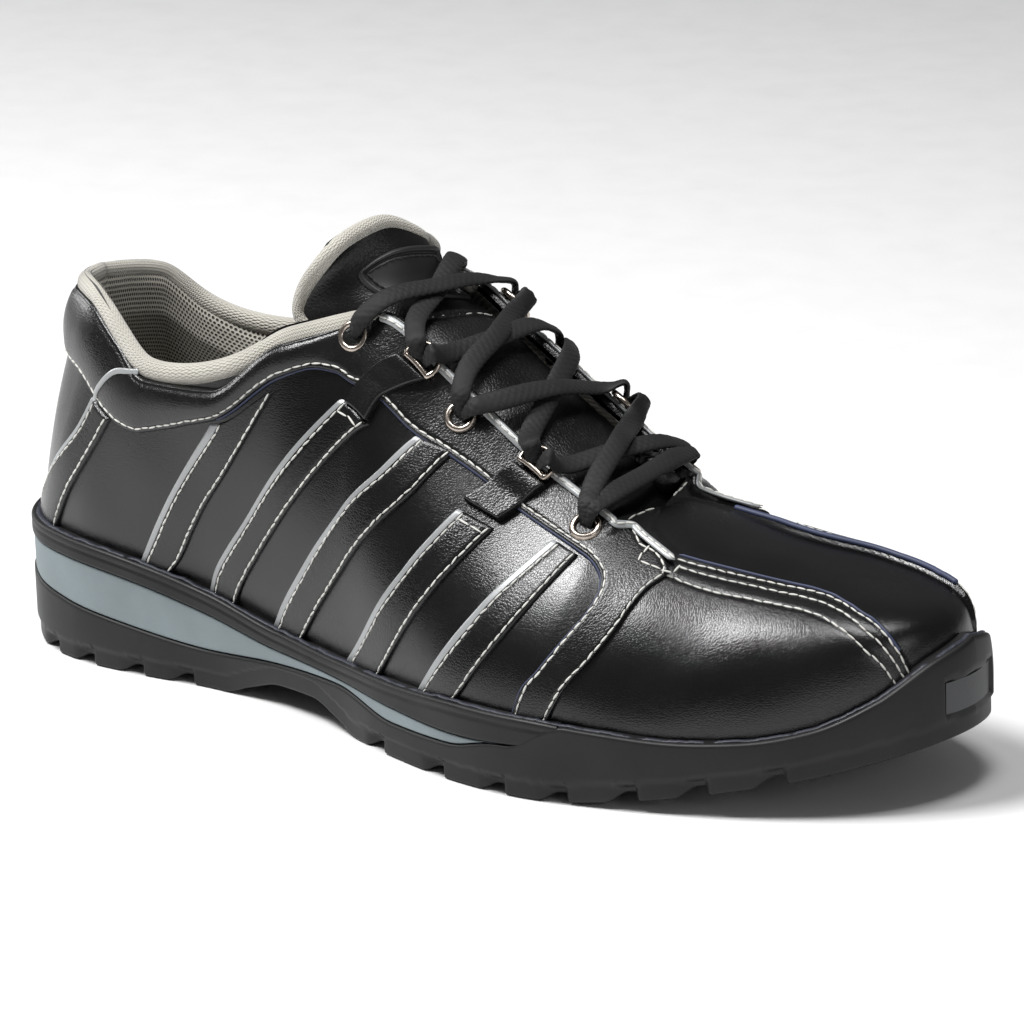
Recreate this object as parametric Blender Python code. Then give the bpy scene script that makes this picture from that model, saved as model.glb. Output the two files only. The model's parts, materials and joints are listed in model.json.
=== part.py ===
"""Low safety shoe for the right foot, standing empty on its sole.

Metres, +Z up, toe along +X, the outer (lateral) side towards -Y. The origin is the middle of the
shoe's box, on the floor. Lengths along the shoe are shares of LENGTH, lengths across it shares of
BALL_WIDTH, and heights shares of INSTEP. Each side has its own rows, from the heel to the toe.
"""

import math
from collections import namedtuple

import bmesh
import bpy
import numpy as np

# Sizes
LENGTH = 0.300
BALL_WIDTH = 0.106
INSTEP = 0.110

# Clear space between pieces, and what is made of sheet
GAP = 0.0003
UPPER_WALL = 0.0022
RIM_WALL = 0.0032
INSOLE_THICK = 0.0040
TONGUE_THICK = 0.0040
TONGUE_CLEAR = 0.0014

LATERAL, MEDIAL = -1, 1

# The sole's edge: place along, half width on each side, and the heights of the black rim's top and
# foot, of the grey wedge's foot, and of the floor inside, on which the upper and insole stand
SoleRow = namedtuple("SoleRow", "along lateral medial rim_top rim_foot wedge_foot floor")
SOLE_ROWS = [
    SoleRow(0.0000, 0.000, 0.000, 0.329, 0.282, 0.197, 0.299),
    SoleRow(0.0200, -0.163, 0.170, 0.330, 0.282, 0.195, 0.300),
    SoleRow(0.0533, -0.257, 0.259, 0.331, 0.280, 0.177, 0.301),
    SoleRow(0.1067, -0.313, 0.311, 0.325, 0.273, 0.155, 0.295),
    SoleRow(0.1833, -0.322, 0.321, 0.301, 0.247, 0.127, 0.271),
    SoleRow(0.2667, -0.308, 0.297, 0.251, 0.196, 0.103, 0.221),
    SoleRow(0.3500, -0.331, 0.278, 0.199, 0.151, 0.116, 0.169),
    SoleRow(0.4333, -0.392, 0.302, 0.184, 0.140, 0.125, 0.154),
    SoleRow(0.5167, -0.474, 0.363, 0.189, 0.129, 0.091, 0.159),
    SoleRow(0.6000, -0.530, 0.425, 0.200, 0.122, 0.097, 0.169),
    SoleRow(0.6667, -0.537, 0.458, 0.200, 0.131, 0.122, 0.168),
    SoleRow(0.7333, -0.501, 0.464, 0.188, 0.152, 0.149, 0.158),
    SoleRow(0.8000, -0.447, 0.443, 0.178, 0.160, 0.157, 0.158),
    SoleRow(0.8600, -0.380, 0.402, 0.187, 0.165, 0.160, 0.166),
    SoleRow(0.9133, -0.295, 0.356, 0.217, 0.180, 0.175, 0.184),
    SoleRow(0.9600, -0.184, 0.283, 0.284, 0.200, 0.190, 0.205),
    SoleRow(0.9867, -0.068, 0.203, 0.352, 0.210, 0.200, 0.225),
    SoleRow(0.9983, 0.074, 0.074, 0.386, 0.215, 0.205, 0.235),
]

# The tread's height over the floor: heel, arch, ball and the toe's spring
TreadRow = namedtuple("TreadRow", "along height")
TREAD_ROWS = [
    TreadRow(0.000, 0.030), TreadRow(0.023, 0.011), TreadRow(0.070, 0.000),
    TreadRow(0.280, 0.000), TreadRow(0.312, 0.028), TreadRow(0.350, 0.056),
    TreadRow(0.395, 0.058), TreadRow(0.430, 0.030), TreadRow(0.462, 0.000),
    TreadRow(0.690, 0.000), TreadRow(0.765, 0.022), TreadRow(0.840, 0.058),
    TreadRow(0.905, 0.094), TreadRow(0.960, 0.132), TreadRow(1.000, 0.160),
]

# The upper's sections, one per row of the sole: where each ends on the collar, throat or ridge,
# then how it leaves the rim (flare, low) and how it arrives (high, lean in degrees)
UpperRow = namedtuple("UpperRow", "along side height flare low high lean")
LATERAL_ROWS = [
    UpperRow(0.068, 0.000, 0.955, -0.04, 0.21, 0.26, 78),
    UpperRow(0.078, -0.090, 0.962, -0.02, 0.21, 0.26, 78),
    UpperRow(0.115, -0.172, 0.956, 0.04, 0.19, 0.24, 80),
    UpperRow(0.163, -0.242, 0.880, 0.10, 0.18, 0.20, 84),
    UpperRow(0.207, -0.283, 0.805, 0.14, 0.18, 0.17, 86),
    UpperRow(0.283, -0.290, 0.820, 0.14, 0.19, 0.22, 84),
    UpperRow(0.357, -0.245, 0.964, 0.10, 0.25, 0.31, 74),
    UpperRow(0.437, -0.137, 1.005, 0.06, 0.30, 0.33, 58),
    UpperRow(0.520, -0.132, 0.862, 0.04, 0.25, 0.32, 48),
    UpperRow(0.613, -0.142, 0.692, 0.04, 0.20, 0.26, 38),
    UpperRow(0.688, -0.160, 0.600, 0.04, 0.19, 0.22, 26),
    UpperRow(0.698, 0.014, 0.594, 0.04, 0.19, 0.27, 0),
    UpperRow(0.760, 0.028, 0.550, 0.03, 0.20, 0.26, 0),
    UpperRow(0.820, 0.040, 0.522, 0.02, 0.22, 0.25, 0),
    UpperRow(0.860, 0.048, 0.504, 0.01, 0.24, 0.25, 0),
    UpperRow(0.882, 0.056, 0.494, 0.00, 0.24, 0.25, 0),
    UpperRow(0.890, 0.060, 0.490, 0.00, 0.24, 0.25, 0),
    UpperRow(0.892, 0.061, 0.489, 0.00, 0.24, 0.25, 0),
]
MEDIAL_ROWS = [
    UpperRow(0.068, 0.000, 0.955, -0.04, 0.21, 0.26, 78),
    UpperRow(0.072, 0.098, 0.942, -0.02, 0.21, 0.26, 78),
    UpperRow(0.088, 0.192, 0.922, 0.04, 0.19, 0.24, 80),
    UpperRow(0.125, 0.258, 0.830, 0.08, 0.18, 0.20, 84),
    UpperRow(0.193, 0.283, 0.770, 0.08, 0.18, 0.17, 86),
    UpperRow(0.273, 0.279, 0.790, 0.06, 0.20, 0.22, 84),
    UpperRow(0.353, 0.236, 0.945, 0.02, 0.28, 0.31, 68),
    UpperRow(0.437, 0.165, 1.035, 0.02, 0.34, 0.31, 46),
    UpperRow(0.523, 0.160, 0.905, 0.02, 0.30, 0.29, 37),
    UpperRow(0.617, 0.160, 0.738, 0.03, 0.24, 0.25, 30),
    UpperRow(0.688, 0.160, 0.618, 0.04, 0.21, 0.22, 23),
    UpperRow(0.698, 0.014, 0.594, 0.04, 0.20, 0.28, 0),
    UpperRow(0.760, 0.028, 0.550, 0.03, 0.25, 0.30, 0),
    UpperRow(0.820, 0.040, 0.522, 0.02, 0.29, 0.29, 0),
    UpperRow(0.860, 0.048, 0.504, 0.01, 0.29, 0.28, 0),
    UpperRow(0.882, 0.056, 0.494, 0.00, 0.27, 0.27, 0),
    UpperRow(0.890, 0.060, 0.490, 0.00, 0.25, 0.25, 0),
    UpperRow(0.892, 0.061, 0.489, 0.00, 0.24, 0.25, 0),
]
UPPER_ROWS = {LATERAL: LATERAL_ROWS, MEDIAL: MEDIAL_ROWS}

COLLAR_FRONT, THROAT_END, RIDGE = 7.0, 10.0, 11.0
TOE_SLOPE = -0.17

# Pieces sewn on the upper, placed in its own rows and rises
SKIN_GAP = 0.0005
OVERLAY_THICK = 0.0012
TAB_THICK = 0.0014
BandRow = namedtuple("BandRow", "rise back front")
SIDE_BANDS = [
    [BandRow(0.08, 1.10, 2.42), BandRow(0.20, 1.50, 2.62), BandRow(0.40, 2.20, 2.93), BandRow(0.60, 2.62, 3.20)],
    [BandRow(0.09, 4.08, 4.54), BandRow(0.25, 4.24, 4.70), BandRow(0.45, 4.50, 4.98), BandRow(0.63, 4.70, 5.32)],
    [BandRow(0.085, 4.98, 5.38), BandRow(0.20, 5.08, 5.54), BandRow(0.40, 5.48, 6.05), BandRow(0.60, 6.18, 6.88), BandRow(0.66, 6.42, 7.06)],
    [BandRow(0.08, 5.88, 6.46), BandRow(0.20, 6.18, 6.80), BandRow(0.40, 6.80, 7.40), BandRow(0.60, 7.48, 7.88), BandRow(0.75, 7.82, 8.16)],
    [BandRow(0.08, 7.16, 7.78), BandRow(0.20, 7.45, 8.07), BandRow(0.40, 7.98, 8.45), BandRow(0.60, 8.35, 8.73), BandRow(0.73, 8.50, 8.86)],
    [BandRow(0.08, 8.40, 8.99), BandRow(0.20, 8.60, 9.18), BandRow(0.40, 8.94, 9.50), BandRow(0.60, 9.22, 9.68), BandRow(0.72, 9.34, 9.75)],
]
EdgeRow = namedtuple("EdgeRow", "row low high")
EYESTAY = [
    EdgeRow(6.50, 0.870, 0.985), EdgeRow(7.00, 0.825, 0.985), EdgeRow(7.50, 0.802, 0.990),
    EdgeRow(8.00, 0.812, 0.990), EdgeRow(8.50, 0.816, 0.990), EdgeRow(9.00, 0.808, 0.990),
    EdgeRow(9.50, 0.788, 0.990), EdgeRow(10.0, 0.760, 0.985),
]
VAMP_BAND = [
    EdgeRow(11.60, 0.66, 0.75), EdgeRow(12.50, 0.66, 0.77), EdgeRow(13.50, 0.64, 0.78),
    EdgeRow(14.30, 0.54, 0.72), EdgeRow(14.80, 0.38, 0.59), EdgeRow(15.20, 0.27, 0.44),
]
TAB_ROWS = [
    [BandRow(0.820, 7.04, 7.36), BandRow(0.870, 7.20, 7.54), BandRow(0.905, 7.34, 7.66)],
    [BandRow(0.830, 8.66, 8.98), BandRow(0.880, 8.68, 9.04), BandRow(0.905, 8.70, 9.06)],
]

# Metal: where each eyelet and ring sits on the eyestay, and their wires
Place = namedtuple("Place", "row rise")
EYELETS = [Place(6.77, 0.928), Place(8.15, 0.920), Place(9.65, 0.890)]
RINGS = [Place(7.62, 0.955), Place(8.92, 0.965)]
EYELET_RADIUS, EYELET_WIRE = 0.0036, 0.0009
RING_RADIUS, RING_WIRE = 0.0046, 0.0008

# The lace, a flattened cord over the tongue
LACE_WIDTH, LACE_THICK, LACE_ARCH = 0.0066, 0.0022, 0.0018
LaceRun = namedtuple("LaceRun", "start start_side end end_side over")
LACE_RUNS = [
    LaceRun(EYELETS[2], LATERAL, EYELETS[2], MEDIAL, 0.0), LaceRun(EYELETS[2], LATERAL, RINGS[1], MEDIAL, 1.0),
    LaceRun(RINGS[1], MEDIAL, EYELETS[1], LATERAL, 1.0), LaceRun(EYELETS[1], LATERAL, RINGS[0], MEDIAL, 1.0),
    LaceRun(RINGS[0], MEDIAL, EYELETS[0], LATERAL, 1.0), LaceRun(EYELETS[2], MEDIAL, RINGS[1], LATERAL, 0.0),
    LaceRun(RINGS[1], LATERAL, EYELETS[1], MEDIAL, 0.0), LaceRun(EYELETS[1], MEDIAL, RINGS[0], LATERAL, 0.0),
    LaceRun(RINGS[0], LATERAL, EYELETS[0], MEDIAL, 0.0),
]

# The tongue's free top, two cross rows from the tip down: outer border, outer edge, middle, inner
# edge, inner border
TonguePoint = namedtuple("TonguePoint", "along side height")
TONGUE_TOP = [
    [TonguePoint(0.397, -0.175, 1.145), TonguePoint(0.403, -0.090, 1.184),
     TonguePoint(0.407, 0.018, 1.198), TonguePoint(0.412, 0.110, 1.150),
     TonguePoint(0.420, 0.195, 1.066)],
    [TonguePoint(0.345, -0.190, 0.955), TonguePoint(0.395, -0.125, 1.050),
     TonguePoint(0.422, 0.018, 1.112), TonguePoint(0.424, 0.125, 1.090),
     TonguePoint(0.388, 0.160, 0.965)],
]
TongueRow = namedtuple("TongueRow", "row lateral medial crown clear")
TONGUE_ROWS = [
    TongueRow(7.0, 0.84, 0.86, 0.026, 1.0), TongueRow(7.7, 0.84, 0.86, 0.024, 1.0),
    TongueRow(8.4, 0.83, 0.85, 0.022, 1.0), TongueRow(9.1, 0.81, 0.83, 0.018, 1.0),
    TongueRow(9.7, 0.80, 0.82, 0.008, 1.3), TongueRow(10.15, 0.79, 0.81, -0.020, 2.0),
]

# The plain patch on the tongue, in shares of the tongue's width and length
PATCH_THICK = 0.0009
TONGUE_ACROSS, TONGUE_ALONG = 12, 14
PatchRow = namedtuple("PatchRow", "column top foot")
PATCH_ROWS = [
    PatchRow(4, 0.115, 0.210), PatchRow(5, 0.098, 0.211), PatchRow(6, 0.084, 0.212),
    PatchRow(7, 0.072, 0.213), PatchRow(8, 0.062, 0.214), PatchRow(9, 0.054, 0.214),
]

# Rubber: where the wedge and the rim end, and the lugs' grooves along the sole
WEDGE_END, RIM_END = 0.650, 0.706
GROOVE_DEPTH, GROOVE_WIDTH, GROOVE_DRAFT = 0.0026, 0.0030, 0.0009
RECESS_DEPTH = 0.0012
ToeRecess = namedtuple("ToeRecess", "lateral_row medial_row low high")
RECESS = ToeRecess(16.20, 16.20, 0.212, 0.302)
HEEL_GROOVES = [0.072, 0.124, 0.182, 0.238]
BALL_GROOVES = [0.494, 0.575, 0.645, 0.706, 0.768, 0.827, 0.888]
STATION_PITCH = 0.026


def chord_slopes(places, values):
    """Tangents of a smooth curve through points, for hermite."""
    steps = np.diff(places)[:, None]
    rise = np.diff(values, axis=0) / steps
    slopes = np.empty_like(values)
    slopes[0], slopes[-1] = rise[0], rise[-1]
    slopes[1:-1] = (rise[:-1] * steps[1:] + rise[1:] * steps[:-1]) / (steps[:-1] + steps[1:])
    return slopes


def calm_slopes(places, values):
    """Tangents that never overshoot a row, for hermite."""
    steps = np.diff(places)[:, None]
    rise = np.diff(values, axis=0) / steps
    slopes = np.zeros_like(values)
    slopes[0], slopes[-1] = rise[0], rise[-1]
    before, after = rise[:-1], rise[1:]
    heavy, light = 2 * steps[1:] + steps[:-1], steps[1:] + 2 * steps[:-1]
    agree = before * after > 0
    safe_before = np.where(agree, before, 1.0)
    safe_after = np.where(agree, after, 1.0)
    mean = (heavy + light) / (heavy / safe_before + light / safe_after)
    slopes[1:-1] = np.where(agree, mean, 0.0)
    return slopes


def hermite(places, values, slopes, at):
    """The curve's points at these places."""
    at = np.atleast_1d(np.asarray(at, float))
    i = np.clip(np.searchsorted(places, at, side="right") - 1, 0, len(places) - 2)
    step = (places[i + 1] - places[i])[:, None]
    s = (at[:, None] - places[i][:, None]) / step
    return (
        values[i] * (1 + 2 * s) * (1 - s) ** 2
        + slopes[i] * step * s * (1 - s) ** 2
        + values[i + 1] * s * s * (3 - 2 * s)
        + slopes[i + 1] * step * s * s * (s - 1)
    )


class Sole:
    """The sole's edge in plan and its heights, read at any place between two rows."""

    def __init__(self):
        self.last = len(SOLE_ROWS) - 1
        self.rows = np.arange(self.last + 1.0)
        self.table = np.array(SOLE_ROWS, float)
        self.heights = self.table[:, 3:] * INSTEP
        along = self.table[:, 0] * LENGTH
        sides = [np.stack([along, self.table[:, c] * BALL_WIDTH], -1) for c in (1, 2)]
        self.loop = np.concatenate([sides[0], sides[1][-2::-1]])
        self.run = np.concatenate([[0], np.cumsum(np.linalg.norm(np.diff(self.loop, axis=0), axis=1))])
        self.wrapped = np.concatenate([self.loop[-3:-1], self.loop, self.loop[1:3]])
        self.places = np.concatenate(
            [self.run[-3:-1] - self.run[-1], self.run, self.run[1:3] + self.run[-1]]
        )
        self.slopes = chord_slopes(self.places, self.wrapped)
        self.half_rows = np.linspace(0, self.last, 2 * self.last + 1)
        smooth = calm_slopes(self.rows, self.heights)
        self.half_heights = hermite(self.rows, self.heights, smooth, self.half_rows)
        self.tread = np.array(TREAD_ROWS, float) * [LENGTH, INSTEP]
        self.tread_slopes = calm_slopes(self.tread[:, 0], self.tread[:, 1:])

    def edge(self, side, row, inset=0.0):
        """Points on the edge in plan, moved inwards, with the outward normal."""
        half = self.run[: self.last + 1] if side == LATERAL else self.run[::-1][: self.last + 1]
        place = np.interp(np.atleast_1d(row), self.rows, half)
        point = hermite(self.places, self.wrapped, self.slopes, place)
        ahead = hermite(self.places, self.wrapped, self.slopes, place + 0.0002)
        behind = hermite(self.places, self.wrapped, self.slopes, place - 0.0002)
        run = ahead - behind
        out = np.stack([run[:, 1], -run[:, 0]], -1)
        out /= np.linalg.norm(out, axis=1, keepdims=True)
        return point - out * inset, out

    def height(self, name, row):
        """A height of the sole table, straight between half rows so that stacked pieces agree."""
        column = SoleRow._fields.index(name) - 3
        return np.interp(np.atleast_1d(row), self.half_rows, self.half_heights[:, column])

    def tread_height(self, x):
        """The tread over the floor at these places along the shoe."""
        x = np.clip(x, 0.0, self.tread[-1, 0])
        return hermite(self.tread[:, 0], self.tread[:, 1:], self.tread_slopes, x)[:, 0]

    def row_at(self, share):
        """The row whose outer edge is this share along the shoe."""
        rows = np.linspace(0, self.last, 1701)
        return float(np.interp(share * LENGTH, self.edge(LATERAL, rows)[0][:, 0], rows))


SOLE = Sole()


class Upper:
    """The upper's outer surface: each section is a curve from the rim to the top line."""

    def __init__(self):
        self.tables = {}
        for side, rows in UPPER_ROWS.items():
            table = np.array(rows, float)
            table[:, :3] *= [LENGTH, BALL_WIDTH, INSTEP]
            table[:, 4:6] *= INSTEP
            opened, ridge = calm_slopes(SOLE.rows, table), calm_slopes(SOLE.rows, table)
            start = int(RIDGE)
            opened[: start + 1, :3] = calm_slopes(SOLE.rows[: start + 1], table[: start + 1, :3])
            ridge[start:, :3] = calm_slopes(SOLE.rows[start:], table[start:, :3])
            opened[int(THROAT_END), :3] = opened[start, :3] = ridge[start, :3] = 0.0
            self.tables[side] = (table, opened, ridge)

    def values(self, side, row):
        """The table's columns at these rows. Both sides share the ridge, and meet there."""
        table, opened, ridge = self.tables[side]
        row = np.atleast_1d(np.asarray(row, float))
        return np.where(
            row[:, None] < RIDGE,
            hermite(SOLE.rows, table, opened, row),
            hermite(SOLE.rows, table, ridge, row),
        )

    def top(self, side, row):
        """Points on the collar, throat or ridge."""
        return self.values(side, row)[:, :3]

    def points(self, side, row, rise, inward=0.0):
        """Points at pairs of row and rise, 0 at the rim to 1 at the top, moved inwards."""
        row, rise = np.broadcast_arrays(np.atleast_1d(row).astype(float), np.asarray(rise, float))
        found = self.section(side, row, rise)
        if inward:
            step = 0.004
            a = self.section(side, np.clip(row + step, 0, SOLE.last), rise)
            b = self.section(side, np.clip(row - step, 0, SOLE.last), rise)
            c = self.section(side, row, np.clip(rise + step, 0, 1))
            d = self.section(side, row, np.clip(rise - step, 0, 1))
            normal = np.cross(a - b, c - d) * (-side)
            normal /= np.linalg.norm(normal, axis=1, keepdims=True)
            found = found - normal * inward
        return found

    def section(self, side, row, rise):
        """The section curves themselves."""
        values = self.values(side, row)
        top, flare, low, high, lean = values[:, :3], values[:, 3:4], values[:, 4:5], values[:, 5:6], values[:, 6]
        plan, out = SOLE.edge(side, row, RIM_WALL + GAP)
        foot = np.concatenate([plan, SOLE.height("floor", row)[:, None] + GAP], 1)
        leave = np.concatenate([out * flare, np.ones_like(flare)], 1)
        level, up = np.cos(np.radians(lean)), np.sin(np.radians(lean))
        arrive = np.stack([-out[:, 0] * level, -out[:, 1] * level, -out[:, 0] * level * TOE_SLOPE + up], 1)
        first, second = foot + leave * low, top - arrive * high
        t = rise[:, None]
        return (
            foot * (1 - t) ** 3 + 3 * first * t * (1 - t) ** 2
            + 3 * second * t * t * (1 - t) + top * t ** 3
        )


UPPER = Upper()


def clear_scene():
    """Remove the startup objects."""
    for obj in list(bpy.data.objects):
        bpy.data.objects.remove(obj, do_unlink=True)


def material(name, colour, roughness, metallic=0.0):
    """A plain Principled material."""
    made = bpy.data.materials.new(name)
    made.use_nodes = True
    shader = made.node_tree.nodes["Principled BSDF"]
    shader.inputs["Base Color"].default_value = (*colour, 1.0)
    shader.inputs["Roughness"].default_value = roughness
    shader.inputs["Metallic"].default_value = metallic
    return made


def middle():
    """What moves the heel's back to the origin frame: the middle of the sole's box, on the floor."""
    rows = np.linspace(0, SOLE.last, 400)
    both = np.concatenate([SOLE.edge(side, rows)[0] for side in (LATERAL, MEDIAL)])
    centre = (both.min(0) + both.max(0)) / 2
    return np.array([centre[0], centre[1], 0.0])


MIDDLE = middle()


def make(name, points, faces, finish, sheet=False):
    """An object from points and faces, with doubles merged. A sheet keeps its faces' own side."""
    mesh = bpy.data.meshes.new(name)
    mesh.from_pydata([tuple(p) for p in np.asarray(points) - MIDDLE], [], faces)
    work = bmesh.new()
    work.from_mesh(mesh)
    bmesh.ops.remove_doubles(work, verts=work.verts, dist=2e-6)
    bmesh.ops.dissolve_degenerate(work, edges=work.edges, dist=1e-6)
    if not sheet:
        bmesh.ops.recalc_face_normals(work, faces=work.faces)
    work.to_mesh(mesh)
    work.free()
    mesh.materials.append(finish)
    obj = bpy.data.objects.new(name, mesh)
    bpy.context.scene.collection.objects.link(obj)
    return obj


def grid_faces(rows, columns, closed=False):
    """Quads of a grid of points, row by row."""
    across = columns if closed else columns - 1
    return [
        (r * columns + c, r * columns + (c + 1) % columns,
         (r + 1) * columns + (c + 1) % columns, (r + 1) * columns + c)
        for r in range(rows - 1) for c in range(across)
    ]


def rings_solid(name, rings, finish):
    """A solid through closed rings, each with the same number of points, capped at both ends."""
    count, size = len(rings), len(rings[0])
    faces = grid_faces(count, size, closed=True)
    faces.append(tuple(range(size))[::-1])
    faces.append(tuple((count - 1) * size + i for i in range(size)))
    return make(name, np.concatenate(rings), faces, finish)


def thicken(obj, thickness, even=True):
    """Give a sheet its wall, inwards from the face that the normals leave."""
    wall = obj.modifiers.new("wall", "SOLIDIFY")
    wall.thickness = thickness
    wall.offset = -1.0
    wall.use_even_offset = even
    wall.use_rim = True
    return obj


def sole_ring(row, profile):
    """One ring across the sole: the profile's (inset, height) pairs up the outer side, mirrored."""
    ring = []
    for side in (LATERAL, MEDIAL):
        half = [
            np.append(SOLE.edge(side, [row], inset)[0][0], height) for inset, height in profile
        ]
        ring.extend(half if side == LATERAL else half[::-1])
    return np.array(ring)


def half_rows_to(share):
    """The half rows from the heel, then the row at this share of the length."""
    end = SOLE.row_at(share)
    return [row for row in SOLE.half_rows if row < end - 0.1] + [end]


def build_upper(finish):
    """One hollow shell, open at the collar, the throat and underneath."""
    rows = np.linspace(0, SOLE.last, 2 * SOLE.last + 1)
    rises = np.linspace(0, 1, 12)
    points, faces = [], []
    for side in (LATERAL, MEDIAL):
        start = sum(len(p) for p in points)
        grid = [UPPER.points(side, np.full(len(rises), r), rises) for r in rows]
        points.append(np.concatenate(grid))
        quads = grid_faces(len(rows), len(rises))
        faces += [tuple(start + i for i in (q[::-1] if side == LATERAL else q)) for q in quads]
    return thicken(make("upper", np.concatenate(points), faces, finish, sheet=True), UPPER_WALL)


def build_insole(finish):
    """The footbed, inside the upper and on the sole's floor."""
    inset = RIM_WALL + GAP + UPPER_WALL + 0.0012
    rings = []
    for row in half_rows_to(0.9983):
        floor = SOLE.height("floor", [row])[0]
        rings.append(sole_ring(row, [
            (inset + 0.0012, floor + GAP), (inset, floor + GAP + 0.3 * INSOLE_THICK),
            (inset + 0.0008, floor + GAP + INSOLE_THICK),
        ]))
    return rings_solid("insole", rings, finish)


def build_rim(finish):
    """The black upper layer: a band round the sole with a recess that holds the upper."""
    rings = []
    for row in half_rows_to(RIM_END - 0.0030):
        top, foot, floor = (SOLE.height(n, [row])[0] for n in ("rim_top", "rim_foot", "floor"))
        deep = top - foot
        rings.append(sole_ring(row, [
            (0.0008, foot + GAP / 2), (0.0001, foot + 0.25 * deep), (0.0, top - 0.3 * deep),
            (0.0008, top), (RIM_WALL - 0.0006, top), (RIM_WALL, floor),
        ]))
    return rings_solid("midsole_rim", rings, finish)


def build_wedge(finish):
    """The grey cushion between rim and outsole, thin under the waist."""
    rings = []
    for row in half_rows_to(WEDGE_END - 0.0015):
        top = SOLE.height("rim_foot", [row])[0] - GAP / 2
        foot = SOLE.height("wedge_foot", [row])[0] + GAP / 2
        rings.append(sole_ring(row, [
            (0.0006, foot), (0.0002, 0.5 * (foot + top)), (0.0008, top),
        ]))
    return rings_solid("cushion_wedge", rings, finish)


def outsole_stations():
    """The outsole's rings from heel to toe: row, whether in a groove, and the layer above it."""
    half, draft = GROOVE_WIDTH / 2 / LENGTH, GROOVE_DRAFT / LENGTH
    found = {}
    for centre in HEEL_GROOVES + BALL_GROOVES:
        for shift, groove in ((-half - draft, 0), (-half, 1), (half, 1), (half + draft, 0)):
            found[SOLE.row_at(centre + shift)] = groove
    grooves = HEEL_GROOVES + BALL_GROOVES
    for back, front in zip(grooves, grooves[1:]):
        steps = max(2, round((front - back) / STATION_PITCH))
        found.update({SOLE.row_at(share): 0 for share in np.linspace(back, front, steps + 1)[1:-1]})
    first, last = SOLE.row_at(HEEL_GROOVES[0]), SOLE.row_at(BALL_GROOVES[-1])
    ends = np.arange(0, SOLE.last + 0.1, 0.25)
    found.update({row: 0 for row in ends if row < first - 0.4 or row > last + 0.4})
    wedge, rim = SOLE.row_at(WEDGE_END), SOLE.row_at(RIM_END)
    for row in (wedge, rim):
        found.update({row: 0, row + 0.02: 0})
    return [
        (row, found[row], "wedge" if row <= wedge else "rim" if row <= rim else "upper")
        for row in sorted(found)
    ]


def build_outsole(finish):
    """Tread, heel and toe bumper. Before RIM_END its top is flat, and beyond it is a cup."""
    rings = []
    for row, groove, above in outsole_stations():
        tread = SOLE.tread_height(SOLE.edge(LATERAL, [row])[0][:, 0])[0]
        bottom, shoulder = tread + groove * GROOVE_DEPTH, tread + 0.0048
        if above != "upper":
            top = SOLE.height("wedge_foot" if above == "wedge" else "rim_foot", [row])[0] - GAP / 2
            shoulder = min(shoulder, top - 0.0016)
            rest = [(0.0002, top - 0.0008), (0.0008, top), (0.0012, top), (0.0016, top)]
        else:
            top, floor = (SOLE.height(n, [row])[0] for n in ("rim_top", "floor"))
            lean = min(0.0018, 0.08 * (top - floor) + 0.0006)
            rest = [
                (0.0, top - 0.0012 - 0.3 * (top - floor)), (lean, top),
                (RIM_WALL - 0.0006, top), (RIM_WALL, floor),
            ]
        rings.append(sole_ring(row, [
            (0.0016 + 0.0014 * groove, bottom), (0.0003 + 0.0010 * groove, shoulder), *rest,
        ]))
    whole = rings_solid("outsole", rings, finish)
    recess = build_toe_recess(finish)
    cut = whole.modifiers.new("toe_recess", "BOOLEAN")
    cut.operation, cut.solver, cut.object = "DIFFERENCE", "EXACT", recess
    return whole


def build_toe_recess(finish):
    """The cutter of the shallow field on the bumper's front, between a row on each side."""
    places = [(LATERAL, row) for row in np.linspace(RECESS.lateral_row, SOLE.last, 4)]
    places += [(MEDIAL, row) for row in np.linspace(SOLE.last, RECESS.medial_row, 5)[1:]]
    low, high = RECESS.low * INSTEP, RECESS.high * INSTEP
    rings = []
    for side, row in places:
        outer, inner = (SOLE.edge(side, [row], inset)[0][0] for inset in (-0.002, RECESS_DEPTH))
        rings.append([np.append(p, z) for p, z in ((outer, low), (inner, low), (inner, high), (outer, high))])
    cutter = rings_solid("toe_recess_cutter", np.array(rings), finish)
    cutter.hide_render = True
    cutter.display_type = "WIRE"
    return cutter


def shoe_point(point):
    """A point given in shares of the shoe's sizes."""
    return np.array([point.along * LENGTH, point.side * BALL_WIDTH, point.height * INSTEP])


def smooth_line(points, count):
    """Evenly spaced points on a smooth curve through these."""
    points = np.array(points)
    run = np.concatenate([[0], np.cumsum(np.linalg.norm(np.diff(points, axis=0), axis=1))])
    slopes = chord_slopes(run, points)
    fine = hermite(run, points, slopes, np.linspace(0, run[-1], 120))
    length = np.concatenate([[0], np.cumsum(np.linalg.norm(np.diff(fine, axis=0), axis=1))])
    at = np.linspace(0, length[-1], count)
    return np.stack([np.interp(at, length, fine[:, c]) for c in range(3)], -1)


def tongue_line(row, rise_lateral, rise_medial, crown, clear):
    """A cross row of the tongue under the throat's two edges."""
    depth = UPPER_WALL + clear * TONGUE_CLEAR
    outer, inner = [
        [UPPER.points(side, [row], [rise], depth)[0] for rise in (low, 0.5 * (low + 1.0), 1.0)]
        for side, low in ((LATERAL, rise_lateral), (MEDIAL, rise_medial))
    ]
    centre = 0.5 * (outer[-1] + inner[-1]) + [0, 0, crown * INSTEP]
    return outer + [centre] + inner[::-1]


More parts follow.
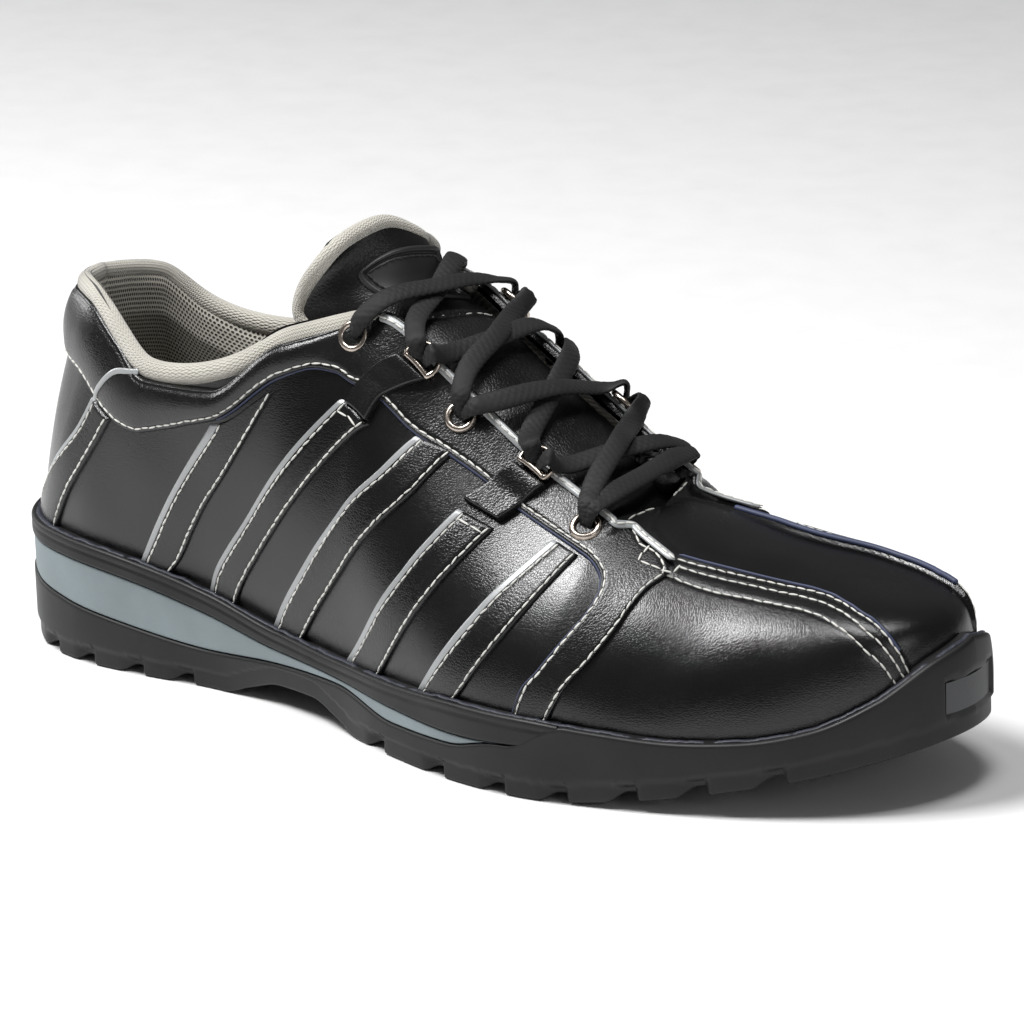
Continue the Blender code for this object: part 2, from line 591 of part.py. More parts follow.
def tongue_grid(across, along):
    """Points of the tongue's face, from its outer to its inner edge and from its tip down."""
    lines = [[shoe_point(p) for p in row] for row in TONGUE_TOP]
    for row, lateral, medial, crown, clear in TONGUE_ROWS:
        lines.append(tongue_line(row, lateral, medial, crown, clear))
    depth = UPPER_WALL + 2 * TONGUE_CLEAR
    under = [UPPER.points(LATERAL, [11.25], [rise], depth)[0] for rise in (0.70, 0.80, 0.90, 1.0)]
    under += [UPPER.points(MEDIAL, [11.25], [rise], depth)[0] for rise in (0.90, 0.80, 0.70)]
    lines.append(under)
    cross = np.array([smooth_line(line, across) for line in lines])
    return np.array([smooth_line(cross[:, c], along) for c in range(across)])


def build_tongue(finish):
    """The tongue: under the vamp, up the throat and free at its top."""
    across, along = TONGUE_ACROSS + 1, TONGUE_ALONG + 1
    grid = tongue_grid(across, along)
    sheet = make("tongue", grid.reshape(-1, 3), grid_faces(across, along), finish, sheet=True)
    return thicken(sheet, TONGUE_THICK, even=False)


def build_tongue_patch(finish):
    """The plain patch sewn on the tongue's face."""
    along = 4 * TONGUE_ALONG + 1
    grid = tongue_grid(TONGUE_ACROSS + 1, along)
    outward = np.cross(np.gradient(grid, axis=1), np.gradient(grid, axis=0))
    outward /= np.linalg.norm(outward, axis=2, keepdims=True)
    rings = []
    for place in PATCH_ROWS:
        rows = np.linspace(place.top, place.foot, 4) * (along - 1)
        face, up = (
            np.stack([np.interp(rows, np.arange(along), layer[place.column, :, c]) for c in range(3)], -1)
            for layer in (grid, outward)
        )
        lifted = face + up * 2 * SKIN_GAP
        rings.append(np.concatenate([lifted + up * PATCH_THICK, lifted[::-1]]))
    return rings_solid("tongue_patch", np.array(rings), finish)


def skin_patch(name, side, lines, lift, thickness, finish):
    """A sewn-on piece: lines of (row, rise) pairs on the upper, lifted off it and given a wall."""
    outer = [
        UPPER.points(side, line[:, 0], line[:, 1], -(lift + thickness)) for line in lines
    ]
    inner = [UPPER.points(side, line[:, 0], line[:, 1], -lift) for line in lines]
    rings = [np.concatenate([a, b[::-1]]) for a, b in zip(outer, inner)]
    return rings_solid(name, rings, finish)


def band_lines(rows, count, across):
    """Lines across a band whose rows give its back and front edge at each rise."""
    table = np.array(rows, float)
    rises = np.linspace(table[0, 0], table[-1, 0], count)
    smooth = hermite(table[:, 0], table, calm_slopes(table[:, 0], table), rises)
    return [
        np.stack([np.linspace(back, front, across), np.full(across, rise)], -1)
        for rise, (_, back, front) in zip(rises, smooth)
    ]


def edge_lines(rows, count, across):
    """Lines across a band that runs along the rows, from its low to its high edge."""
    table = np.array(rows, float)
    at = np.linspace(table[0, 0], table[-1, 0], count)
    smooth = hermite(table[:, 0], table, calm_slopes(table[:, 0], table), at)
    return [
        np.stack([np.full(across, row), np.linspace(low, high, across)], -1)
        for row, (_, low, high) in zip(at, smooth)
    ]


def build_overlays(finish):
    """Side bands, eyestays, ring tabs and the vamp's bands, on both sides."""
    tab_lift = 1.4 * SKIN_GAP + OVERLAY_THICK + GAP
    for side, word in ((LATERAL, "lateral"), (MEDIAL, "medial")):
        for number, rows in enumerate(SIDE_BANDS, 1):
            skin_patch(f"side_band_{word}_{number}", side, band_lines(rows, 9, 3), SKIN_GAP, OVERLAY_THICK, finish)
        skin_patch(f"eyestay_{word}", side, edge_lines(EYESTAY, len(EYESTAY), 4), 1.4 * SKIN_GAP, OVERLAY_THICK, finish)
        skin_patch(f"vamp_band_{word}", side, edge_lines(VAMP_BAND, 11, 3), 1.4 * SKIN_GAP, OVERLAY_THICK, finish)
        for number, rows in enumerate(TAB_ROWS, 1):
            skin_patch(f"ring_tab_{word}_{number}", side, band_lines(rows, 4, 3), tab_lift, TAB_THICK, finish)


def skin_frame(side, place, lift):
    """A point above the upper, with its normal and the directions forward and up the skin."""
    base = UPPER.points(side, [place.row], [place.rise])[0]
    above = UPPER.points(side, [place.row], [place.rise], -0.001)[0]
    normal = (above - base) / np.linalg.norm(above - base)
    ahead = UPPER.points(side, [place.row + 0.05], [place.rise])[0] - base
    ahead -= normal * ahead.dot(normal)
    ahead /= np.linalg.norm(ahead)
    return base + normal * lift, normal, ahead, np.cross(normal, ahead)


def wire_ring(name, side, place, lift, radius, wire, flat, sides, finish):
    """A ring of wire lying on the skin, with one straight side where flat is over zero."""
    centre, normal, ahead, up = skin_frame(side, place, lift + wire)
    if up[2] < 0:
        up = -up
    rings = []
    for turn in np.arange(sides) * 2 * math.pi / sides:
        out = ahead * math.cos(turn) + up * max(math.sin(turn), -1 + flat)
        middle_point = centre + out * radius
        radial = ahead * math.cos(turn) + up * math.sin(turn)
        rings.append([
            middle_point + wire * (radial * math.cos(a) + normal * math.sin(a))
            for a in np.arange(5) * math.pi / 2.5
        ])
    rings.append(rings[0])
    points = np.concatenate(rings)
    return make(name, points, grid_faces(sides + 1, 5, closed=True), finish)


def build_metal(finish):
    """The eyelets and the rings that carry the lace."""
    lift = 1.4 * SKIN_GAP + OVERLAY_THICK + 2.5 * GAP
    for side, word in ((LATERAL, "lateral"), (MEDIAL, "medial")):
        for number, place in enumerate(EYELETS, 1):
            wire_ring(f"eyelet_{word}_{number}", side, place, lift, EYELET_RADIUS, EYELET_WIRE, 0.0, 10, finish)
        for number, place in enumerate(RINGS, 1):
            wire_ring(f"lace_ring_{word}_{number}", side, place, lift, RING_RADIUS, RING_WIRE, 0.4, 10, finish)


def lace_run(name, run, finish):
    """One run of the lace: out of its hole, over the throat's edge, across the tongue and down."""
    lift = 1.4 * SKIN_GAP + OVERLAY_THICK + 4 * GAP + 2 * EYELET_WIRE + LACE_THICK / 2
    near = (run.start_side, run.start.row, run.end.row, run.start.rise)
    far = (run.end_side, run.end.row, run.start.row, run.end.rise)
    points, ups = [], []
    for side, row, other, rise in (near, far):
        half = [skin_frame(side, Place(row, rise), lift)[:2],
                skin_frame(side, Place(row + 0.22 * (other - row), 1.0), lift)[:2]]
        half = half if side == run.start_side else half[::-1]
        points += [point for point, _ in half]
        ups += [normal for _, normal in half]
    crown = 0.5 * (ups[1] + ups[2])
    crown /= np.linalg.norm(crown)
    centre = 0.5 * (points[1] + points[2]) + crown * LACE_ARCH * (1 + run.over)
    points.insert(2, centre)
    ups.insert(2, crown)
    line = smooth_line(points, 9)
    place = np.linspace(0, 4, 9)
    up_line = np.stack([np.interp(place, np.arange(5), np.array(ups)[:, c]) for c in range(3)], -1)
    rings = []
    for i, centre in enumerate(line):
        along = line[min(i + 1, 8)] - line[max(i - 1, 0)]
        across = np.cross(up_line[i], along)
        across /= np.linalg.norm(across)
        up = np.cross(along, across)
        up /= np.linalg.norm(up)
        rings.append([
            centre + across * (LACE_WIDTH / 2 * math.cos(a)) + up * (LACE_THICK / 2 * math.sin(a))
            for a in np.arange(6) * math.pi / 3
        ])
    return rings_solid(name, np.array(rings), finish)


def build_lace(finish):
    """The visible crossings, joined where they meet."""
    whole = lace_run("lace", LACE_RUNS[0], finish)
    for number, run in enumerate(LACE_RUNS[1:], 1):
        piece = lace_run(f"lace_run_{number}", run, finish)
        piece.hide_render = True
        piece.display_type = "WIRE"
        join = whole.modifiers.new(f"join_{number}", "BOOLEAN")
        join.operation, join.solver, join.object = "UNION", "EXACT", piece


def main():
    """Build every piece."""
    clear_scene()
    leather = material("black_leather", (0.012, 0.012, 0.013), 0.35)
    rubber = material("black_rubber", (0.018, 0.018, 0.019), 0.6)
    grey = material("grey_cushion", (0.18, 0.22, 0.24), 0.6)
    lining = material("grey_lining", (0.42, 0.41, 0.37), 0.9)
    metal = material("ring_metal", (0.62, 0.60, 0.56), 0.3, 1.0)
    cord = material("black_cord", (0.015, 0.015, 0.015), 0.85)
    build_upper(leather)
    build_tongue(leather)
    build_tongue_patch(leather)
    build_insole(lining)
    build_rim(rubber)
    build_wedge(grey)
    build_outsole(rubber)
    build_overlays(leather)
    build_metal(metal)
    build_lace(cord)


if __name__ == "__main__":
    main()
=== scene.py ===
"""Looks of a low safety shoe for the right foot: leather, stitching, lacing, lining and rubber.

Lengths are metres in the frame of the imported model: +Z up, toe along +X, outer side towards -Y.
Places on the upper are given as a row, from 0 at the heel to 17 at the toe, and a rise, from 0 at
the sole to 1 at the collar, the throat or the ridge of the vamp.
"""

from __future__ import annotations

import json
import logging
import math
from collections.abc import Callable, Sequence
from dataclasses import dataclass, field
from enum import Enum
from typing import NamedTuple

import bmesh
import bpy
import numpy as np
from mathutils import Matrix, Vector

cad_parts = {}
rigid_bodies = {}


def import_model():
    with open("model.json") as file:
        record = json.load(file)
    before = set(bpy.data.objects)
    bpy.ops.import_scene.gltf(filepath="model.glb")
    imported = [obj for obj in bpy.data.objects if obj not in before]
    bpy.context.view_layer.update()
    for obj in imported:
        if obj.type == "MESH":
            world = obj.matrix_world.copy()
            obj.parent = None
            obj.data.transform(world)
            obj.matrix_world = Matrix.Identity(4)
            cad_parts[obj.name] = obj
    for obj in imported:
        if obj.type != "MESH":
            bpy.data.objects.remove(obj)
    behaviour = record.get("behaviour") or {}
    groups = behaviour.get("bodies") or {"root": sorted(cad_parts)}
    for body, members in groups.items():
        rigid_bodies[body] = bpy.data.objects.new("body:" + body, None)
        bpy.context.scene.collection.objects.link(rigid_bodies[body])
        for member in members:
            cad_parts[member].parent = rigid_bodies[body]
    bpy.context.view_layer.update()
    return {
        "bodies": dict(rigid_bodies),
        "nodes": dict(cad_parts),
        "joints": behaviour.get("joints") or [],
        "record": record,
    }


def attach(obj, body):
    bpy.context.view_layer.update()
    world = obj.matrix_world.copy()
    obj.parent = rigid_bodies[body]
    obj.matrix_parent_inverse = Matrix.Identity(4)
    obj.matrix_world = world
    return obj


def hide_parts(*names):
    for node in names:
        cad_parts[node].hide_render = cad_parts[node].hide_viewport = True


LOG = logging.getLogger("shoe")

Amount = float | np.ndarray
Mapping = Callable[[np.ndarray, np.ndarray], np.ndarray]
Profile = Callable[[np.ndarray, np.ndarray, np.ndarray], tuple[np.ndarray, np.ndarray]]
Seam = tuple[np.ndarray, np.ndarray]

# Sizes of the shoe
LENGTH = 0.300
BALL_WIDTH = 0.106
INSTEP = 0.110
GAP = 0.0003
UPPER_WALL = 0.0022
RIM_WALL = 0.0032
TONGUE_CLEAR = 0.0014


class Side(Enum):
    """The two sides of the shoe, with the sign of Y on each."""

    LATERAL = -1
    MEDIAL = 1


class SoleRow(NamedTuple):
    """One row of the sole's edge, in shares of the length, ball width and instep."""

    along: float
    lateral: float
    medial: float
    rim_top: float
    rim_foot: float
    wedge_foot: float
    floor: float


class TreadRow(NamedTuple):
    """The tread's height over the floor at a place along the shoe."""

    along: float
    height: float


class UpperRow(NamedTuple):
    """Where a section of the upper ends, and how it leaves the rim and arrives there."""

    along: float
    side: float
    height: float
    flare: float
    low: float
    high: float
    lean: float


class TonguePoint(NamedTuple):
    """A point of the tongue's free top, in shares of the shoe's sizes."""

    along: float
    side: float
    height: float


class TongueRow(NamedTuple):
    """A cross row of the tongue under the throat's two edges."""

    row: float
    lateral: float
    medial: float
    crown: float
    clear: float


class PatchRow(NamedTuple):
    """A cross row of the plain patch on the tongue."""

    column: int
    top: float
    foot: float


class Place(NamedTuple):
    """A place on the upper."""

    row: float
    rise: float


class Pair(NamedTuple):
    """Two matched places on the edges of a sewn-on piece."""

    row: float
    rise: float
    far_row: float
    far_rise: float


class ToeRecess(NamedTuple):
    """The shallow field on the bumper's front."""

    lateral_row: float
    medial_row: float
    low: float
    high: float


def rows_of(kind: type, *numbers: float) -> list:
    """A table's rows, cut from one line of numbers.

    Args:
        kind: the named tuple of a row.
        numbers: all the rows' values, one row after another.

    Returns:
        The rows.
    """
    width = len(kind._fields)
    return [kind(*numbers[i:i + width]) for i in range(0, len(numbers), width)]


SOLE_ROWS = rows_of(
    SoleRow,
    0.0000, 0.000, 0.000, 0.329, 0.282, 0.197, 0.299,
    0.0200, -0.163, 0.170, 0.330, 0.282, 0.195, 0.300,
    0.0533, -0.257, 0.259, 0.331, 0.280, 0.177, 0.301,
    0.1067, -0.313, 0.311, 0.325, 0.273, 0.155, 0.295,
    0.1833, -0.322, 0.321, 0.301, 0.247, 0.127, 0.271,
    0.2667, -0.308, 0.297, 0.251, 0.196, 0.103, 0.221,
    0.3500, -0.331, 0.278, 0.199, 0.151, 0.116, 0.169,
    0.4333, -0.392, 0.302, 0.184, 0.140, 0.125, 0.154,
    0.5167, -0.474, 0.363, 0.189, 0.129, 0.091, 0.159,
    0.6000, -0.530, 0.425, 0.200, 0.122, 0.097, 0.169,
    0.6667, -0.537, 0.458, 0.200, 0.131, 0.122, 0.168,
    0.7333, -0.501, 0.464, 0.188, 0.152, 0.149, 0.158,
    0.8000, -0.447, 0.443, 0.178, 0.160, 0.157, 0.158,
    0.8600, -0.380, 0.402, 0.187, 0.165, 0.160, 0.166,
    0.9133, -0.295, 0.356, 0.217, 0.180, 0.175, 0.184,
    0.9600, -0.184, 0.283, 0.284, 0.200, 0.190, 0.205,
    0.9867, -0.068, 0.203, 0.352, 0.210, 0.200, 0.225,
    0.9983, 0.074, 0.074, 0.386, 0.215, 0.205, 0.235,
)
TREAD_ROWS = rows_of(
    TreadRow,
    0.000, 0.030, 0.023, 0.011, 0.070, 0.000,
    0.280, 0.000, 0.312, 0.028, 0.350, 0.056,
    0.395, 0.058, 0.430, 0.030, 0.462, 0.000,
    0.690, 0.000, 0.765, 0.022, 0.840, 0.058,
    0.905, 0.094, 0.960, 0.132, 1.000, 0.160,
)
LATERAL_ROWS = rows_of(
    UpperRow,
    0.068, 0.000, 0.955, -0.04, 0.21, 0.26, 78,
    0.078, -0.090, 0.962, -0.02, 0.21, 0.26, 78,
    0.115, -0.172, 0.956, 0.04, 0.19, 0.24, 80,
    0.163, -0.242, 0.880, 0.10, 0.18, 0.20, 84,
    0.207, -0.283, 0.805, 0.14, 0.18, 0.17, 86,
    0.283, -0.290, 0.820, 0.14, 0.19, 0.22, 84,
    0.357, -0.245, 0.964, 0.10, 0.25, 0.31, 74,
    0.437, -0.137, 1.005, 0.06, 0.30, 0.33, 58,
    0.520, -0.132, 0.862, 0.04, 0.25, 0.32, 48,
    0.613, -0.142, 0.692, 0.04, 0.20, 0.26, 38,
    0.688, -0.160, 0.600, 0.04, 0.19, 0.22, 26,
    0.698, 0.014, 0.594, 0.04, 0.19, 0.27, 0,
    0.760, 0.028, 0.550, 0.03, 0.20, 0.26, 0,
    0.820, 0.040, 0.522, 0.02, 0.22, 0.25, 0,
    0.860, 0.048, 0.504, 0.01, 0.24, 0.25, 0,
    0.882, 0.056, 0.494, 0.00, 0.24, 0.25, 0,
    0.890, 0.060, 0.490, 0.00, 0.24, 0.25, 0,
    0.892, 0.061, 0.489, 0.00, 0.24, 0.25, 0,
)
MEDIAL_ROWS = rows_of(
    UpperRow,
    0.068, 0.000, 0.955, -0.04, 0.21, 0.26, 78,
    0.072, 0.098, 0.942, -0.02, 0.21, 0.26, 78,
    0.088, 0.192, 0.922, 0.04, 0.19, 0.24, 80,
    0.125, 0.258, 0.830, 0.08, 0.18, 0.20, 84,
    0.193, 0.283, 0.770, 0.08, 0.18, 0.17, 86,
    0.273, 0.279, 0.790, 0.06, 0.20, 0.22, 84,
    0.353, 0.236, 0.945, 0.02, 0.28, 0.31, 68,
    0.437, 0.165, 1.035, 0.02, 0.34, 0.31, 46,
    0.523, 0.160, 0.905, 0.02, 0.30, 0.29, 37,
    0.617, 0.160, 0.738, 0.03, 0.24, 0.25, 30,
    0.688, 0.160, 0.618, 0.04, 0.21, 0.22, 23,
    0.698, 0.014, 0.594, 0.04, 0.20, 0.28, 0,
    0.760, 0.028, 0.550, 0.03, 0.25, 0.30, 0,
    0.820, 0.040, 0.522, 0.02, 0.29, 0.29, 0,
    0.860, 0.048, 0.504, 0.01, 0.29, 0.28, 0,
    0.882, 0.056, 0.494, 0.00, 0.27, 0.27, 0,
    0.890, 0.060, 0.490, 0.00, 0.25, 0.25, 0,
    0.892, 0.061, 0.489, 0.00, 0.24, 0.25, 0,
)
THROAT_END, RIDGE = 10.0, 11.0
TOE_SLOPE = -0.17
TONGUE_TOP = [
    rows_of(TonguePoint, 0.397, -0.175, 1.145, 0.403, -0.090, 1.184, 0.407, 0.018, 1.198,
            0.412, 0.110, 1.150, 0.420, 0.195, 1.066),
    rows_of(TonguePoint, 0.345, -0.190, 0.955, 0.395, -0.125, 1.050, 0.422, 0.018, 1.112,
            0.424, 0.125, 1.090, 0.388, 0.160, 0.965),
]
TONGUE_ROWS = rows_of(
    TongueRow,
    7.0, 0.84, 0.86, 0.026, 1.0, 7.7, 0.84, 0.86, 0.024, 1.0,
    8.4, 0.83, 0.85, 0.022, 1.0, 9.1, 0.81, 0.83, 0.018, 1.0,
    9.7, 0.80, 0.82, 0.008, 1.3, 10.15, 0.79, 0.81, -0.020, 2.0,
)
PATCH_ROWS = rows_of(
    PatchRow,
    4, 0.115, 0.210, 5, 0.098, 0.211, 6, 0.084, 0.212,
    7, 0.072, 0.213, 8, 0.062, 0.214, 9, 0.054, 0.214,
)
PATCH_GRID = 12
EYELETS = rows_of(Place, 6.77, 0.928, 8.15, 0.920, 9.65, 0.890)
RINGS = rows_of(Place, 7.62, 0.955, 8.92, 0.965)
WEDGE_END, RIM_END = 0.650, 0.706
GROOVE_DEPTH, GROOVE_WIDTH = 0.0022, 0.0030
LUG_RAMP, LUG_STEEP = 0.0062, 0.0016
WALL_FOLD = 0.12
HEEL_GROOVES = [0.072, 0.124, 0.182, 0.238]
BALL_GROOVES = [0.494, 0.575, 0.645, 0.706, 0.768, 0.827, 0.888]
RECESS_DEPTH = 0.0012
RECESS = ToeRecess(16.20, 16.20, 0.212, 0.302)

# How far the main leather lies inside the CAD skin, and how high sewn-on pieces stand over it
SKIN_SINK = 0.0005
STRIP_LIFT = 0.0013
PANEL_LIFT = 0.0014
PIPING_LIFT = 0.0007
THREAD_LIFT = 0.00012

# Relief of the leather: the step at the vamp's seams, waves, grooves of seams and tucked edges
VAMP_STEP, BAND_RISE = 0.0006, 0.0011
WAVE_HEIGHT = 0.00016
VAMP_HEIGHT = 0.075
SEAM_PRESS, SEAM_SPREAD = 0.00022, 0.0008
STITCH_DENT, STITCH_SPREAD = 0.00028, 0.0006
EDGE_TUCK = 0.0004

# The slanted strips, from the sole up: rear edge, then front edge
STRIPS: dict[str, list[Pair]] = {
    "a": rows_of(
        Pair,
        0.60, -0.030, 2.321, -0.030, 1.04, 0.102, 2.508, 0.096, 1.641, 0.234, 2.687, 0.222,
        2.120, 0.366, 2.860, 0.348, 2.441, 0.498, 3.026, 0.474, 2.605, 0.650, 3.185, 0.630,
    ),
    "b": rows_of(
        Pair,
        3.958, -0.030, 4.330, -0.030, 4.145, 0.138, 4.608, 0.138, 4.318, 0.306, 4.790, 0.306,
        4.500, 0.474, 4.995, 0.474, 4.713, 0.642, 5.340, 0.642, 4.983, 0.810, 5.960, 0.825,
    ),
    "c": rows_of(
        Pair,
        4.901, -0.030, 5.260, -0.030, 5.016, 0.130, 5.422, 0.118, 5.250, 0.290, 5.704, 0.266,
        5.620, 0.450, 6.118, 0.414, 6.146, 0.610, 6.660, 0.562, 6.810, 0.762, 7.300, 0.712,
    ),
    "d": rows_of(
        Pair,
        5.740, -0.030, 6.170, -0.030, 6.030, 0.132, 6.600, 0.140, 6.460, 0.294, 7.150, 0.310,
        7.014, 0.456, 7.620, 0.480, 7.510, 0.618, 7.988, 0.650, 7.840, 0.800, 8.250, 0.840,
    ),
    "e": rows_of(
        Pair,
        6.850, -0.030, 7.498, -0.030, 7.320, 0.120, 7.892, 0.122, 7.710, 0.275, 8.219, 0.274,
        8.030, 0.420, 8.485, 0.426, 8.285, 0.565, 8.696, 0.578, 8.470, 0.705, 8.850, 0.720,
    ),
    "f": rows_of(
        Pair,
        8.146, -0.030, 8.740, -0.030, 8.493, 0.126, 9.079, 0.122, 8.775, 0.282, 9.340, 0.274,
        9.006, 0.438, 9.525, 0.426, 9.201, 0.594, 9.670, 0.600, 9.400, 0.800, 9.820, 0.780,
    ),
}
PIPING_SHARE = 0.15
STRIP_SEAM = 0.0011

# The piece over the strips: collar, eyestay and the leg that runs down to the sole
TOP_PANEL = rows_of(
    Pair,
    0.00, 0.740, 0.00, 0.950, 1.10, 0.740, 1.10, 0.950, 1.60, 0.700, 1.60, 0.950,
    2.30, 0.680, 2.30, 0.945, 3.25, 0.640, 3.25, 0.945, 3.80, 0.660, 3.80, 0.945,
    4.30, 0.715, 4.30, 0.945, 4.75, 0.785, 4.75, 0.947, 5.20, 0.830, 5.25, 0.950,
    5.80, 0.845, 5.80, 0.952, 6.30, 0.860, 6.35, 0.955, 6.65, 0.835, 6.75, 0.970,
    7.00, 0.795, 7.10, 1.000, 7.65, 0.790, 7.65, 1.000, 8.20, 0.815, 8.20, 1.000,
    8.60, 0.825, 8.60, 1.000, 9.05, 0.815, 9.15, 1.000, 9.50, 0.805, 9.75, 1.000,
    9.95, 0.775, 10.20, 0.970, 10.28, 0.715, 10.62, 0.880, 10.54, 0.630, 11.05, 0.775,
    10.61, 0.565, 11.48, 0.735, 10.56, 0.500, 11.60, 0.680, 10.45, 0.440, 11.45, 0.600,
    10.33, 0.380, 11.30, 0.520, 10.20, 0.300, 11.12, 0.420, 10.10, 0.240, 10.87, 0.310,
    9.95, 0.170, 10.63, 0.210, 9.87, 0.080, 10.47, 0.100, 9.78, -0.020, 10.33, -0.020,
)
PANEL_SEAMS = (0.0016, 0.0013)

# Seams on the vamp: three lines on the outer side, two on the inner
VAMP_SEAMS: dict[Side, list[list[Place]]] = {
    Side.LATERAL: [
        rows_of(
            Place,
            11.62, 0.752, 12.10, 0.764, 12.80, 0.774, 13.60, 0.780, 14.10, 0.755, 14.50, 0.695, 14.90, 0.580,
            15.20, 0.435, 15.45, 0.290, 15.62, 0.180,
        ),
        rows_of(
            Place,
            11.66, 0.722, 12.10, 0.726, 12.80, 0.732, 13.60, 0.727, 14.10, 0.690, 14.50, 0.615, 14.85, 0.480,
            15.15, 0.350, 15.40, 0.225, 15.56, 0.150,
        ),
        rows_of(
            Place,
            11.55, 0.672, 12.10, 0.660, 12.80, 0.660, 13.60, 0.642, 14.10, 0.580, 14.50, 0.480, 14.80, 0.360,
            15.10, 0.250, 15.38, 0.130,
        ),
    ],
    Side.MEDIAL: [
        rows_of(
            Place,
            11.40, 0.750, 11.90, 0.765, 12.40, 0.772, 12.95, 0.742, 13.50, 0.702, 13.90, 0.677, 14.40, 0.650,
            14.80, 0.618, 15.20, 0.565, 15.50, 0.500, 15.72, 0.400, 15.88, 0.240,
        ),
        rows_of(
            Place,
            11.40, 0.715, 11.90, 0.733, 12.40, 0.740, 12.95, 0.708, 13.50, 0.668, 13.90, 0.643, 14.40, 0.614,
            14.80, 0.580, 15.20, 0.520, 15.45, 0.440, 15.62, 0.330, 15.76, 0.200,
        ),
    ],
}
VAMP_EDGE: dict[Side, list[Place]] = {
    Side.LATERAL: rows_of(
        Place,
        10.60, 1.05, 11.05, 0.86, 11.60, 0.775, 12.10, 0.786, 12.80, 0.796, 13.60, 0.802, 14.10, 0.780,
        14.50, 0.722, 14.90, 0.615, 15.20, 0.470, 15.45, 0.325, 15.66, 0.190, 15.80, 0.00, 17.00, -0.40,
    ),
    Side.MEDIAL: rows_of(
        Place,
        10.60, 1.05, 11.05, 0.87, 11.45, 0.790, 11.90, 0.800, 12.40, 0.805, 12.95, 0.775, 13.50, 0.735,
        13.90, 0.710, 14.40, 0.685, 14.80, 0.655, 15.20, 0.605, 15.50, 0.545, 15.75, 0.445, 15.95, 0.280,
        16.10, 0.00, 17.00, -0.40,
    ),
}
THROAT_ARC = rows_of(Place, 10.34, 0.972, 10.50, 0.985, 10.66, 1.0)
COLLAR_SEAM = rows_of(Place, 2.78, 0.66, 2.92, 0.74, 3.25, 0.86, 3.80, 0.965)
BARTACK = rows_of(
    Place,
    11.20, 0.755, 11.17, 0.730, 11.13, 0.705, 11.16, 0.686, 11.30, 0.678, 11.45, 0.674, 11.60, 0.674,
    11.67, 0.690, 11.68, 0.715,
)


def chord_slopes(places: np.ndarray, values: np.ndarray) -> np.ndarray:
    """Tangents of a smooth curve through points, for hermite."""
    steps = np.diff(places)[:, None]
    rise = np.diff(values, axis=0) / steps
    slopes = np.empty_like(values)
    slopes[0], slopes[-1] = rise[0], rise[-1]
    slopes[1:-1] = (rise[:-1] * steps[1:] + rise[1:] * steps[:-1]) / (steps[:-1] + steps[1:])
    return slopes


def calm_slopes(places: np.ndarray, values: np.ndarray) -> np.ndarray:
    """Tangents that never overshoot a row, for hermite."""
    steps = np.diff(places)[:, None]
    rise = np.diff(values, axis=0) / steps
    slopes = np.zeros_like(values)
    slopes[0], slopes[-1] = rise[0], rise[-1]
    before, after = rise[:-1], rise[1:]
    heavy, light = 2 * steps[1:] + steps[:-1], steps[1:] + 2 * steps[:-1]
    agree = before * after > 0
    safe_before = np.where(agree, before, 1.0)
    safe_after = np.where(agree, after, 1.0)
    mean = (heavy + light) / (heavy / safe_before + light / safe_after)
    slopes[1:-1] = np.where(agree, mean, 0.0)
    return slopes


def hermite(places: np.ndarray, values: np.ndarray, slopes: np.ndarray, at: np.ndarray) -> np.ndarray:
    """The curve's points at these places."""
    at = np.atleast_1d(np.asarray(at, float))
    i = np.clip(np.searchsorted(places, at, side="right") - 1, 0, len(places) - 2)
    step = (places[i + 1] - places[i])[:, None]
    s = (at[:, None] - places[i][:, None]) / step
    return (
        values[i] * (1 + 2 * s) * (1 - s) ** 2
        + slopes[i] * step * s * (1 - s) ** 2
        + values[i + 1] * s * s * (3 - 2 * s)
        + slopes[i + 1] * step * s * s * (s - 1)
    )


def smooth_step(low: float, high: float, value: np.ndarray) -> np.ndarray:
    """0 below low, 1 above high, and smooth between."""
    t = np.clip((value - low) / (high - low), 0.0, 1.0)
    return t * t * (3 - 2 * t)


def unit(vectors: np.ndarray) -> np.ndarray:
    """Vectors brought to length one."""
    return vectors / np.maximum(np.linalg.norm(vectors, axis=-1, keepdims=True), 1e-12)


def run_of(points: np.ndarray) -> np.ndarray:
    """How far along a line of points each one lies."""
    return np.concatenate([[0], np.cumsum(np.linalg.norm(np.diff(points, axis=0), axis=1))])


def read(at: np.ndarray, places: np.ndarray, values: np.ndarray) -> np.ndarray:
    """A table's columns at these places, straight between its rows."""
    return np.stack([np.interp(at, places, values[:, c]) for c in range(values.shape[1])], -1)


def evened(points: np.ndarray, times: int) -> np.ndarray:
    """A line whose inner points are drawn towards their neighbours."""
    points = points.copy()
    for _ in range(times):
        points[1:-1] = (points[:-2] + 2 * points[1:-1] + points[2:]) / 4
    return points


def resample(points: np.ndarray, count: int) -> np.ndarray:
    """Evenly spaced points along a line of points."""
    run = run_of(points)
    return read(np.linspace(0, run[-1], count), run, points)


def smooth_line(points: Sequence, count: int) -> np.ndarray:
    """Evenly spaced points on a smooth curve through these."""
    points = np.asarray(points, float)
    run = run_of(points)
    fine = np.linspace(0, run[-1], 12 * len(points))
    return resample(hermite(run, points, chord_slopes(run, points), fine), count)


